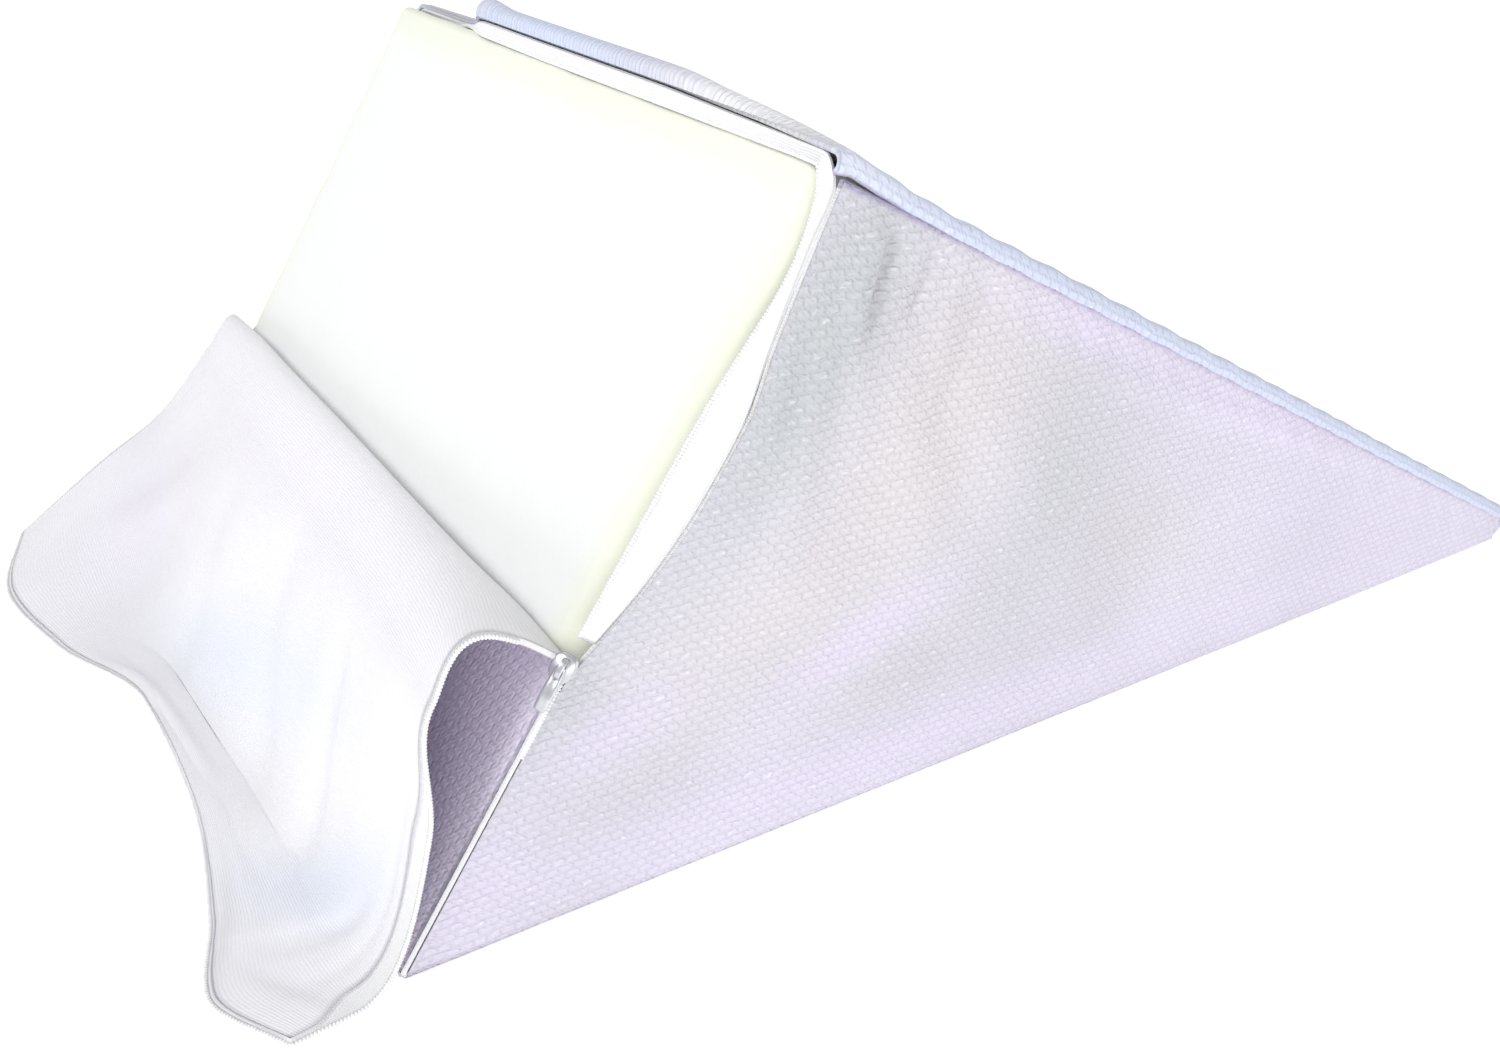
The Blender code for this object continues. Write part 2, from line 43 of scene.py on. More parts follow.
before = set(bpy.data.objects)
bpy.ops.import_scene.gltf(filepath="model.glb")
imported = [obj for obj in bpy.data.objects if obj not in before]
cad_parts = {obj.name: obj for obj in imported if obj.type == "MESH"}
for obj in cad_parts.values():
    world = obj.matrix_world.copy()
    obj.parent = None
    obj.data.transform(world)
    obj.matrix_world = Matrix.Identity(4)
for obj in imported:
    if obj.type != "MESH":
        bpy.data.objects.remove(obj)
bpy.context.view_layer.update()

# The wedge, as the solids have it
WIDTH = 0.437
BACK_HEIGHT = 0.300
TOP_LENGTH = 0.526
APEX_ANGLE = math.radians(95)
CLOTH = 0.0020
TAPE = 0.0012
GAP = 0.0004
TAPE_GAP = 0.0009
SEAM_DROP = 0.0056
WRAP_RADIUS = 0.0048
TIP_RADIUS = 0.0100
TAPE_WIDTH = 0.012
CROWN = 0.0025
FOAM_CLEARANCE = CLOTH + GAP
FOAM_SIDE_CLEARANCE = 0.0038

BASE = math.sqrt(
    BACK_HEIGHT**2 + TOP_LENGTH**2 - 2 * BACK_HEIGHT * TOP_LENGTH * math.cos(APEX_ANGLE)
)
FOOT = (BACK_HEIGHT**2 + BASE**2 - TOP_LENGTH**2) / (2 * BASE)
RISE = math.sqrt(BACK_HEIGHT**2 - FOOT**2)
FACE_UP = np.array([FOOT, RISE]) / BACK_HEIGHT
FACE_OUT = np.array([-RISE, FOOT]) / BACK_HEIGHT
TOP_ALONG = np.array([BASE - FOOT, -RISE]) / TOP_LENGTH
TOP_OUT = np.array([RISE, BASE - FOOT]) / TOP_LENGTH
TIP_ANGLE = math.atan2(RISE, BASE - FOOT)
TIP_TANGENT = TIP_RADIUS / math.tan(TIP_ANGLE / 2)

# The opened panel, a row for each section across the width
Section = namedtuple(
    "Section",
    "across crest top_x top_z shoulder_x shoulder_z middle_x middle_z foot_x foot_z end_x end_y end_z",
)
FLAP = (
    Section(0.000, 0.127, 0.044, 0.121, 0.023, 0.104, 0.016, 0.058, -0.009, 0.004, -0.038, -0.009, 0.001),
    Section(0.035, 0.126, 0.050, 0.117, 0.026, 0.099, 0.013, 0.055, -0.013, 0.003, -0.057, 0.021, 0.004),
    Section(0.080, 0.122, 0.053, 0.112, 0.029, 0.093, 0.010, 0.052, -0.016, 0.002, -0.050, 0.056, 0.003),
    Section(0.150, 0.117, 0.054, 0.106, 0.030, 0.086, 0.003, 0.047, -0.024, 0.001, -0.044, 0.122, 0.001),
    Section(0.230, 0.112, 0.053, 0.101, 0.028, 0.079, -0.003, 0.042, -0.034, 0.001, -0.050, 0.205, 0.002),
    Section(0.310, 0.107, 0.051, 0.096, 0.027, 0.074, -0.006, 0.040, -0.043, 0.004, -0.078, 0.268, 0.003),
    Section(0.380, 0.102, 0.050, 0.092, 0.028, 0.072, -0.002, 0.043, -0.043, 0.016, -0.094, 0.334, 0.004),
    Section(0.437, 0.097, 0.048, 0.087, 0.031, 0.072, 0.000, 0.046, -0.041, 0.029, -0.083, 0.385, 0.007),
)
FLAP_START = 0.0034
FLAP_OFF = 0.0016
FLAP_SWING = (0.0, 0.0, 0.0, 0.0, 0.1, 0.35, 0.7, 1.0)

# The side panels' free edges: up the face, drawn back from it, and out of the side
Gape = namedtuple("Gape", "up back out")
NEAR_GAPE = (
    Gape(0.000, 0.0000, 0.0000),
    Gape(0.080, 0.0000, 0.0000),
    Gape(0.110, 0.0004, 0.0000),
    Gape(0.137, 0.0050, 0.0020),
    Gape(0.160, 0.0090, 0.0045),
    Gape(0.190, 0.0115, 0.0060),
    Gape(0.215, 0.0115, 0.0060),
    Gape(0.240, 0.0080, 0.0045),
    Gape(0.265, 0.0060, 0.0025),
    Gape(0.300, 0.0030, 0.0005),
)
FAR_GAPE = (
    Gape(0.000, 0.0000, 0.0000),
    Gape(0.040, 0.0000, 0.0000),
    Gape(0.070, 0.0004, 0.0000),
    Gape(0.110, 0.0090, 0.0015),
    Gape(0.150, 0.0160, 0.0025),
    Gape(0.250, 0.0170, 0.0025),
    Gape(0.300, 0.0150, 0.0010),
)

# Broad folds of the near side that fan out from the ridge
Fold = namedtuple("Fold", "angle start end half_width height")
FOLDS = (
    Fold(math.radians(13), 0.015, 0.120, 0.008, 0.0030),
    Fold(math.radians(24), 0.010, 0.150, 0.009, 0.0035),
    Fold(math.radians(37), 0.012, 0.110, 0.008, 0.0030),
    Fold(math.radians(50), 0.020, 0.200, 0.014, 0.0025),
    Fold(math.radians(66), 0.040, 0.260, 0.018, 0.0020),
)

# The top panel's free edge over the ridge
Lip = namedtuple("Lip", "across forward height")
LIP = (
    Lip(0.000, 0.000, 0.0015),
    Lip(0.040, 0.001, 0.0050),
    Lip(0.075, 0.002, 0.0070),
    Lip(0.110, 0.003, 0.0090),
    Lip(0.200, 0.003, 0.0095),
    Lip(0.270, 0.003, 0.0100),
    Lip(0.300, 0.004, 0.0120),
    Lip(0.330, -0.006, 0.0040),
    Lip(0.370, -0.012, 0.0030),
    Lip(0.430, -0.012, 0.0025),
)

# Where the toothed edge of the cover's tape lies
Teeth = namedtuple("Teeth", "up off across")
NEAR_TEETH = (
    Teeth(0.133, 0.0020, 0.0010),
    Teeth(0.160, 0.0015, 0.0010),
    Teeth(0.190, 0.0010, 0.0010),
    Teeth(0.215, 0.0005, 0.0005),
    Teeth(0.240, -0.0020, 0.0010),
    Teeth(0.258, -0.0040, 0.0020),
    Teeth(0.275, -0.0035, 0.0035),
    Teeth(0.290, -0.0005, 0.0060),
)
TOP_TEETH = (
    Teeth(0.2950, 0.0018, 0.008),
    Teeth(0.2955, 0.0014, 0.024),
    Teeth(0.2955, 0.0012, 0.040),
    Teeth(0.2955, 0.0012, 0.066),
    Teeth(0.2955, 0.0012, 0.120),
    Teeth(0.2955, 0.0012, 0.220),
    Teeth(0.2960, 0.0012, 0.290),
    Teeth(0.2990, -0.0060, 0.335),
    Teeth(0.2992, -0.0140, 0.380),
    Teeth(0.2992, -0.0160, 0.424),
)
FAR_TEETH = (
    Teeth(0.291, -0.0220, WIDTH - 0.0026),
    Teeth(0.280, -0.0240, WIDTH - 0.0024),
    Teeth(0.250, -0.0250, WIDTH - 0.0021),
    Teeth(0.200, -0.0250, WIDTH - 0.0018),
    Teeth(0.150, -0.0240, WIDTH - 0.0018),
    Teeth(0.115, -0.0170, WIDTH - 0.0021),
)
SLIDER_UP = 0.1225
SLIDER_LIFT = 0.0022

# A zip tooth: along the tape, across it and through it
TOOTH = (0.00135, 0.0021, 0.0018)

# Creases pressed into cloth: start and end on the cloth in its own two lengths, half width and
# depth (negative for a ridge)
Crease = namedtuple("Crease", "x0 y0 x1 y1 half_width depth")

# Soft areas of another tint on a cloth: centre, half length and half width, turn and strength
Patch = namedtuple("Patch", "tint x y long wide turn share")


def place(x, across, z):
    """Points given from the bottom seam's near end, in the row frame."""
    return np.stack(np.broadcast_arrays(x - BASE / 2, across - WIDTH / 2, z), -1)


def on_face(up, off, across):
    """Points up the opened face, off it and across the width, in the row frame."""
    up, off = np.asarray(up, float), np.asarray(off, float)
    return place(up * FACE_UP[0] + off * FACE_OUT[0], across, up * FACE_UP[1] + off * FACE_OUT[1])


def on_top(along, height, across):
    """Points down the top face from the ridge, above it and across the width, in the row frame."""
    along, height = np.asarray(along, float), np.asarray(height, float)
    x = FOOT + along * TOP_ALONG[0] + height * TOP_OUT[0]
    return place(x, across, RISE + along * TOP_ALONG[1] + height * TOP_OUT[1])


def column(rows, name):
    return np.array([getattr(row, name) for row in rows])


def even_slopes(knots, values):
    """Slopes at the knots that let a smooth curve pass the values without swinging beyond them."""
    spans = np.diff(knots).reshape(-1, *(1,) * (values.ndim - 1))
    rates = np.diff(values, axis=0) / spans
    before, after = rates[:-1], rates[1:]
    same_way = before * after > 0
    inner = np.where(same_way, 2 * before * after / np.where(same_way, before + after, 1.0), 0.0)
    return np.concatenate([rates[:1], inner, rates[-1:]])


def blend(start, start_slope, end, end_slope, share):
    """The cubic between two values with the given slopes."""
    square, cube = share**2, share**3
    start_part = start * (2 * cube - 3 * square + 1) + start_slope * (cube - 2 * square + share)
    return start_part + end * (3 * square - 2 * cube) + end_slope * (cube - square)


def hermite(knots, values, at):
    """A smooth curve through the values at the knots, read at each place."""
    knots, values = np.asarray(knots, float), np.asarray(values, float)
    at = np.clip(np.asarray(at, float), knots[0], knots[-1])
    slopes = even_slopes(knots, values)
    first = np.clip(np.searchsorted(knots, at, side="right") - 1, 0, len(knots) - 2)
    width = knots[first + 1] - knots[first]
    share = (at - knots[first]) / width
    more = (1,) * (values.ndim - 1)
    width, share = width.reshape(width.shape + more), share.reshape(share.shape + more)
    return blend(values[first], slopes[first] * width, values[first + 1], slopes[first + 1] * width, share)


def smooth(low, high, value):
    """0 below low, 1 above high, and a smooth step between."""
    share = np.clip((np.asarray(value, float) - low) / (high - low), 0, 1)
    return share * share * (3 - 2 * share)


def ripple(x, y, seed, size):
    """Smooth unevenness of about plus or minus one, from sums of slanted waves of one rough size."""
    made = np.random.default_rng(seed)
    total = np.zeros(np.broadcast(x, y).shape)
    for _ in range(7):
        angle, phase = made.uniform(0, math.pi), made.uniform(0, 2 * math.pi)
        length = size * made.uniform(0.7, 1.6)
        total = total + np.sin(2 * math.pi * (x * math.cos(angle) + y * math.sin(angle)) / length + phase)
    return total / 3.5


def pressed(creases, x, y):
    """Depth of the listed creases at points of a cloth."""
    depth = np.zeros(np.broadcast(x, y).shape)
    for crease in creases:
        run = np.array([crease.x1 - crease.x0, crease.y1 - crease.y0])
        length = float(np.linalg.norm(run))
        run = run / length
        dx, dy = x - crease.x0, y - crease.y0
        along = (dx * run[0] + dy * run[1]) / length
        side = dy * run[0] - dx * run[1]
        fade = smooth(-0.08, 0.25, along) * (1 - smooth(0.6, 1.08, along))
        depth = depth + crease.depth * fade * np.exp(-((side / crease.half_width) ** 2))
    return depth


def patched(patches, x, y):
    """How much of each tint lies at points of a cloth."""
    shares = {}
    for patch in patches:
        dx, dy = x - patch.x, y - patch.y
        along = dx * math.cos(patch.turn) + dy * math.sin(patch.turn)
        side = dy * math.cos(patch.turn) - dx * math.sin(patch.turn)
        amount = patch.share * np.exp(-((along / patch.long) ** 2) - (side / patch.wide) ** 2)
        shares[patch.tint] = 1 - (1 - shares.get(patch.tint, 0.0)) * (1 - amount)
    return shares


def grid_normals(grid):
    """Unit normals of a grid of points."""
    normals = np.cross(np.gradient(grid, axis=0), np.gradient(grid, axis=1))
    return normals / np.maximum(np.linalg.norm(normals, axis=2, keepdims=True), 1e-12)


# Colours of the tint patches laid over the knit; the side panels' patches are painted light and shade
TINTS = {
    "warm": (0.690, 0.655, 0.640),
    "lilac": (0.740, 0.670, 0.860),
    "cool": (0.490, 0.530, 0.535),
    "blue": (0.640, 0.720, 0.920),
    "white": (0.900, 0.905, 0.930),
}
# Painted shade: the dark violet that the cloth turns to in the groove along its seams
SEAM_SHADE_TINT = (0.33, 0.28, 0.46)


class Wire:
    """A shader socket; arithmetic on wires adds Math nodes."""

    def __init__(self, finish, socket):
        self.finish = finish
        self.socket = socket

    def math(self, operation, *values):
        return self.finish.node("ShaderNodeMath", {"operation": operation}, dict(enumerate(values)))

    def __add__(self, other):
        return self.math("ADD", self, other)

    __radd__ = __add__

    def __mul__(self, other):
        return self.math("MULTIPLY", self, other)

    __rmul__ = __mul__

    def __sub__(self, other):
        return self.math("SUBTRACT", self, other)

    def __rsub__(self, other):
        return self.math("SUBTRACT", other, self)

    def step(self, low, high):
        """0 below low, 1 above high, and a smooth step between."""
        settings = {"interpolation_type": "SMOOTHSTEP"}
        values = {"Value": self, "From Min": low, "From Max": high, "To Min": 0.0, "To Max": 1.0}
        return self.finish.node("ShaderNodeMapRange", settings, values)


class Finish:
    """A material under construction."""

    def __init__(self, name, roughness, sheen=0.0, metallic=0.0):
        self.material = bpy.data.materials.new(name)
        self.material.use_nodes = True
        self.tree = self.material.node_tree
        self.shader = self.tree.nodes["Principled BSDF"]
        self.shader.inputs["Roughness"].default_value = roughness
        self.shader.inputs["Metallic"].default_value = metallic
        self.shader.inputs["Sheen Weight"].default_value = sheen
        self.shader.inputs["Sheen Roughness"].default_value = 0.5

    def node(self, kind, settings=None, values=None, output=0):
        """Adds a node with its settings, then its sockets' values or links, and gives one output."""
        made = self.tree.nodes.new(kind)
        for name, value in (settings or {}).items():
            setattr(made, name, value)
        for name, value in (values or {}).items():
            socket = made.inputs[name]
            if isinstance(value, Wire):
                self.tree.links.new(value.socket, socket)
            else:
                socket.default_value = value
        return Wire(self, made.outputs[output])

    def cloth_place(self, along=1.0, across=1.0, warp=0.0):
        """The cloth's own two lengths in millimetres, stretched, and warped a little by noise."""
        place_on = self.node("ShaderNodeAttribute", {"attribute_name": "cloth"}, output=1)
        if warp:
            values = {"Vector": place_on, "Scale": 0.12, "Detail": 2.0}
            drift = self.node("ShaderNodeTexNoise", None, values, 1)
            shift = self.vector("SUBTRACT", drift, (0.5, 0.5, 0.5))
            place_on = self.vector("ADD", place_on, self.vector("MULTIPLY", shift, (warp, warp, 0.0)))
        return self.vector("MULTIPLY", place_on, (along, across, 1.0))

    def vector(self, operation, a, b):
        return self.node("ShaderNodeVectorMath", {"operation": operation}, {0: a, 1: b})

    def noise(self, scale, detail=3.0, rough=0.5, place_on=None):
        """Noise over the piece's own object space, in cycles a metre, or over a given place."""
        place_on = place_on or self.node("ShaderNodeTexCoord", output=3)
        values = {"Vector": place_on, "Scale": scale, "Detail": detail, "Roughness": rough}
        return self.node("ShaderNodeTexNoise", None, values)

    def value(self, name):
        """A number kept on the mesh's points."""
        return self.node("ShaderNodeAttribute", {"attribute_name": name}, output=2)

    def mix(self, share, a, b):
        """A colour between two."""
        a = (*a, 1.0) if isinstance(a, (tuple, list)) else a
        b = (*b, 1.0) if isinstance(b, (tuple, list)) else b
        return self.node("ShaderNodeMix", {"data_type": "RGBA"}, {0: share, 6: a, 7: b}, 2)

    def finish(self, colour, height=None, distance=0.001, strength=1.0, roughness=None):
        self.tree.links.new(colour.socket, self.shader.inputs["Base Color"])
        if roughness is not None:
            self.tree.links.new(roughness.socket, self.shader.inputs["Roughness"])
        if height is not None:
            values = {"Height": height, "Distance": distance, "Strength": strength}
            bump = self.node("ShaderNodeBump", None, values)
            self.tree.links.new(bump.socket, self.shader.inputs["Normal"])
        return self.material


def raised_knit(name, light, shade, cell=(5.0, 3.4)):
    """The cover's outer face: rounded raised cells laid like bricks, over fine knit loops."""
    made = Finish(name, 0.86, sheen=0.15)
    spot = made.cloth_place(warp=2.2)
    bricks = {
        "Vector": spot,
        "Scale": 1.0,
        "Mortar Size": 1.1,
        "Mortar Smooth": 1.0,
        "Brick Width": cell[0],
        "Row Height": cell[1],
    }
    settings = {"offset": 0.5, "offset_frequency": 2, "squash": 1.0, "squash_frequency": 2}
    groove = made.node("ShaderNodeTexBrick", settings, bricks, 1)
    loops = made.node(
        "ShaderNodeTexWave",
        {"wave_type": "BANDS", "bands_direction": "DIAGONAL", "wave_profile": "SIN"},
        {"Vector": spot, "Scale": 0.30, "Distortion": 3.5, "Detail": 1.0, "Detail Scale": 1.2},
        1,
    )
    raised_flecks_and_highlights = made.noise(0.42, 2.0, 0.5, made.cloth_place(0.6, 1.3, warp=3.0))
    fuzz = made.noise(1.6, 4.0, 0.7, made.cloth_place())
    height = (1 - groove) * 0.8 + loops * 0.25 + raised_flecks_and_highlights.step(0.4, 0.7) * 0.5 + fuzz * 0.25
    blotch = made.noise(6.5, 2.0, 0.5)
    tone = made.mix(blotch.step(0.36, 0.66), shade, light)
    # Tints laid in patches by each piece's numbers: on the side panels and the opened panel these are painted
    # light and shade
    for tint, colour in TINTS.items():
        tone = made.mix(made.value(tint), tone, colour)
    # Painted highlights: pale marks on the tops of the raised cells
    tone = made.mix(raised_flecks_and_highlights.step(0.56, 0.72) * (1 - groove) * 0.30, tone, (0.97, 0.95, 0.99))
    # Painted shade: darker in the grooves between the cells and in the low spots of the fuzz
    tone = made.mix(groove * 0.13 + (1 - fuzz) * 0.06, tone, tuple(c * 0.5 for c in shade))
    # Painted shade in the seam groove: the seam number turns the cloth dark violet
    tone = made.mix(made.value("seam") * 0.75, tone, SEAM_SHADE_TINT)
    return made.finish(tone, height, 0.0006, 0.7)


def smooth_knit(name, light, shade):
    """The cover's inner face: fine knit rows and a faint print of the raised cells."""
    made = Finish(name, 0.85, sheen=0.2)
    spot = made.cloth_place(warp=1.0)
    rows = made.node(
        "ShaderNodeTexWave",
        {"wave_type": "BANDS", "bands_direction": "Y", "wave_profile": "SIN"},
        {"Vector": spot, "Scale": 0.30, "Distortion": 1.2, "Detail": 2.0, "Detail Scale": 1.5},
        1,
    )
    ribs = made.node(
        "ShaderNodeTexWave",
        {"wave_type": "BANDS", "bands_direction": "X", "wave_profile": "SIN"},
        {"Vector": spot, "Scale": 0.38, "Distortion": 0.8},
        1,
    )
    fuzz = made.noise(1.8, 4.0, 0.7, made.cloth_place())
    height = rows * 0.5 + ribs * 0.25 + fuzz * 0.4
    tone = made.mix(made.noise(9.0, 2.0).step(0.36, 0.66), shade, light)
    # Painted shade on the opened panel: the blue and lilac numbers darken the inner face toward cooler tones
    # along its valley
    for tint, colour in (("blue", (0.76, 0.81, 0.93)), ("lilac", (0.84, 0.80, 0.93))):
        tone = made.mix(made.value(tint), tone, colour)
    # Painted shade: the seam number draws thin darker lines near the opened panel's free end; the rows add a
    # faint knit pattern
    tone = made.mix(rows * 0.05 + made.value("seam") * 0.35, tone, tuple(c * 0.62 for c in shade))
    return made.finish(tone, height, 0.0004, 0.6)


def foam_finish(name, face, rim):
    """Fine-celled white foam, its rounded edges painted greenish-yellow for their shade and the light through
    the foam.
    """
    made = Finish(name, 0.9, sheen=0.1)
    spot = made.node("ShaderNodeTexCoord", output=3)
    cells = made.node("ShaderNodeTexVoronoi", None, {"Vector": spot, "Scale": 900.0})
    grain = made.noise(420.0, 3.0, 0.6)
    cloud = made.noise(7.0, 2.0, 0.5)
    # Painted shade and light through the foam: where the rim number is high, the rounded edges turn to the
    # greenish-yellow edge tone
    edge_shade_share = made.value("rim") * (0.75 + 0.5 * cloud)
    tone = made.mix(edge_shade_share, face, rim)
    tone = made.mix(cloud.step(0.42, 0.7) * 0.10, tone, tuple(c * 0.97 for c in face))
    # Painted shade in the cells' pits: slightly darker where the bump sinks
    tone = made.mix((1 - cells) * 0.03, tone, tuple(c * 0.8 for c in rim))
    return made.finish(tone, cells * 0.5 + grain, 0.0003, 0.35)


def tape_finish(name, colour):
    """Woven zip tape: fine ribs along its length, crossed by threads."""
    made = Finish(name, 0.7, sheen=0.15)
    spot = made.cloth_place()
    ribs = made.node(
        "ShaderNodeTexWave",
        {"wave_type": "BANDS", "bands_direction": "Y", "wave_profile": "SIN"},
        {"Vector": spot, "Scale": 0.34, "Distortion": 0.3},
        1,
    )
    threads = made.node(
        "ShaderNodeTexWave",
        {"wave_type": "BANDS", "bands_direction": "X", "wave_profile": "SIN"},
        {"Vector": spot, "Scale": 0.62, "Distortion": 0.6},
        1,
    )
    tone = made.mix(ribs * threads * 0.5, colour, tuple(c * 0.82 for c in colour))
    return made.finish(tone, ribs * 0.7 + threads * 0.5, 0.0003, 0.7)


def plain_finish(name, colour, roughness, metallic=0.0, grain=300.0, depth=0.0001):
    """A hard or thread finish with slight unevenness."""
    made = Finish(name, roughness, metallic=metallic)
    mottle = made.noise(grain, 3.0, 0.6)
    tone = made.mix(mottle.step(0.35, 0.7), tuple(c * 0.9 for c in colour), colour)
    rough = mottle * 0.2 + (roughness - 0.1)
    return made.finish(tone, mottle, depth, 0.4, rough)


def link(name, mesh, *nodes):
    """An object for the mesh, riding on the part in place of the named nodes."""
    made = bpy.data.objects.new(name, mesh)
    bpy.context.scene.collection.objects.link(made)
    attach(made, "root")
    if nodes:
        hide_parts(*nodes)
    return made


def mesh_from(name, points, faces, finishes, face_slots=None, numbers=None, cloth=None):
    """A smooth mesh with its finishes, point numbers and the cloth's own two lengths in millimetres."""
    mesh = bpy.data.meshes.new(name)
    mesh.from_pydata([tuple(p) for p in points], [], [tuple(f) for f in faces])
    for finish in finishes:
        mesh.materials.append(finish)
    if face_slots is not None:
        mesh.polygons.foreach_set("material_index", np.asarray(face_slots, np.int32))
    for key, values in (numbers or {}).items():
        mesh.attributes.new(key, "FLOAT", "POINT").data.foreach_set("value", np.asarray(values, np.float32))
    if cloth is not None:
        flat = np.zeros((len(points), 3), np.float32)
        flat[:, :2] = np.asarray(cloth).reshape(-1, 2) * 1000
        mesh.attributes.new("cloth", "FLOAT_VECTOR", "POINT").data.foreach_set("vector", flat.ravel())
    mesh.shade_smooth()
    mesh.validate()
    return mesh


def cloth_mesh(name, middle, cloth, thickness, finishes, slots=(0, 0), edges=(0, 0, 0, 0), numbers=None):
    """A closed sheet on a grid of its middle layer: upper layer, lower layer and a rounded rim.

    slots are the finishes of the two layers. edges are those of the rim along the first column, the
    last row, the last column and the first row of the grid.
    """
    rows, columns = middle.shape[:2]
    normals = grid_normals(middle)
    upper, lower = middle + normals * thickness / 2, middle - normals * thickness / 2
    count = rows * columns
    index = np.arange(count).reshape(rows, columns)
    quads = np.stack([index[:-1, :-1], index[1:, :-1], index[1:, 1:], index[:-1, 1:]], -1).reshape(-1, 4)
    ring = np.concatenate([index[:, 0], index[-1, 1:], index[-2::-1, -1], index[0, -2:0:-1]])
    after = np.roll(ring, -1)
    rim_middle = middle.reshape(-1, 3)[ring]
    outward = np.cross(np.roll(rim_middle, -1, 0) - np.roll(rim_middle, 1, 0), normals.reshape(-1, 3)[ring])
    outward /= np.maximum(np.linalg.norm(outward, axis=1, keepdims=True), 1e-12)
    rim = np.arange(len(ring)) + 2 * count
    rim_after = np.roll(rim, -1)
    outer_half = np.stack([ring, rim, rim_after, after], -1)
    inner_half = np.stack([rim, ring + count, after + count, rim_after], -1)
    sides = np.concatenate([outer_half, inner_half])
    faces = np.concatenate([quads, quads[:, ::-1] + count, sides[:, ::-1]])
    edge_slots = np.repeat(edges, (rows, columns - 1, rows - 1, columns - 2))
    kinds = np.concatenate([np.repeat(slots, len(quads)), edge_slots, edge_slots])
    points = [upper.reshape(-1, 3), lower.reshape(-1, 3), rim_middle + outward * thickness * 0.35]
    spread = {}
    for key, values in (numbers or {}).items():
        values = np.broadcast_to(values, (rows, columns)).ravel()
        spread[key] = np.concatenate([values, values, values[ring]])
    flat = cloth.reshape(-1, 2)
    flats = np.concatenate([flat, flat, flat[ring]])
    return mesh_from(name, np.concatenate(points), faces, finishes, kinds, spread, flats)


def beads(name, path, size, pitch, finish, lean=None, sides=6):
    """Small rounded blocks along a path, such as zip teeth or stitches. size is along, across, deep."""
    steps = np.linalg.norm(np.diff(path, axis=0), axis=1)
    run = np.concatenate([[0], np.cumsum(steps)])
    count = max(int(run[-1] / pitch), 1)
    at = (np.arange(count) + 0.5) * run[-1] / count
    centre = np.stack([np.interp(at, run, path[:, k]) for k in range(3)], 1)
    ahead = np.stack([np.interp(at + pitch * 0.4, run, path[:, k]) for k in range(3)], 1) - np.stack(
        [np.interp(at - pitch * 0.4, run, path[:, k]) for k in range(3)], 1
    )
    ahead /= np.linalg.norm(ahead, axis=1, keepdims=True)
    lean = np.stack([np.interp(at, run, lean[:, k]) for k in range(3)], 1)
    lean -= (lean * ahead).sum(1, keepdims=True) * ahead
    lean /= np.linalg.norm(lean, axis=1, keepdims=True)
    deep = np.cross(ahead, lean)
    turn = np.linspace(0, 2 * math.pi, sides, endpoint=False)
    shape = [(-0.5, 0.0, 0.0)]
    for level, share in ((-0.36, 0.75), (0.0, 1.0), (0.36, 0.75)):
        shape += [(level, 0.5 * share * math.cos(a), 0.5 * share * math.sin(a)) for a in turn]
    shape.append((0.5, 0.0, 0.0))
    shape = np.array(shape) * size
    points = (
        centre[:, None]
        + ahead[:, None] * shape[None, :, :1]
        + lean[:, None] * shape[None, :, 1:2]
        + deep[:, None] * shape[None, :, 2:]
    )
    faces = []
    last = len(shape) - 1
    for i in range(sides):
        j = (i + 1) % sides
        faces.append((0, 1 + j, 1 + i))
        for level in range(2):
            low, high = 1 + level * sides, 1 + (level + 1) * sides
            faces.append((low + i, low + j, high + j, high + i))
        faces.append((last, 1 + 2 * sides + i, 1 + 2 * sides + j))
    all_faces = []
    for k in range(count):
        all_faces += [tuple(v + k * len(shape) for v in face) for face in faces]
    return mesh_from(name, points.reshape(-1, 3), all_faces, [finish])


def plate(outline, thickness, edge, hole=None, bend=0.0):
    """A flat piece with rounded edges on an outline, as points and faces. It lies across the second axis."""
    levels = ((-0.5, edge), (-0.5 + edge / thickness, 0.0), (0.5 - edge / thickness, 0.0), (0.5, edge))
    rings = []
    for line, sense in ((outline, -1.0),) + (((hole, 1.0),) if hole is not None else ()):
        along = np.roll(line, -1, 0) - np.roll(line, 1, 0)
        along /= np.linalg.norm(along, axis=1, keepdims=True)
        inward = np.stack([-along[:, 1], along[:, 0]], 1)
        turned = inward if ((line.mean(0) - line) * inward).sum() > 0 else -inward
        for level, inset in levels:
            flat = line - turned * inset * sense
            rings.append(np.stack([flat[:, 0], level * thickness + bend * flat[:, 1] ** 2, flat[:, 1]], 1))
    count = len(outline)
    index = np.arange(len(rings) * count).reshape(len(rings), count)
    faces = []

    def strip(low, high):
        corners = [index[low], np.roll(index[low], -1), np.roll(index[high], -1), index[high]]
        faces.extend(np.stack(corners, 1).tolist())

    for low in range(3):
        strip(low, low + 1)
    if hole is None:
        faces += [index[0][::-1].tolist(), index[3].tolist()]
    else:
        for low in range(4, 7):
            strip(low + 1, low)
        strip(3, 7)
        strip(4, 0)
    return np.concatenate(rings), faces


def rounded_box(wide, high, power=4.0, count=48):
    """An even outline between an oval and a box."""
    turn = np.linspace(0, 2 * math.pi, count, endpoint=False)
    cos, sin = np.cos(turn), np.sin(turn)
    x = np.sign(cos) * np.abs(cos) ** (2 / power) * wide / 2
    return np.stack([x, np.sign(sin) * np.abs(sin) ** (2 / power) * high / 2], 1)


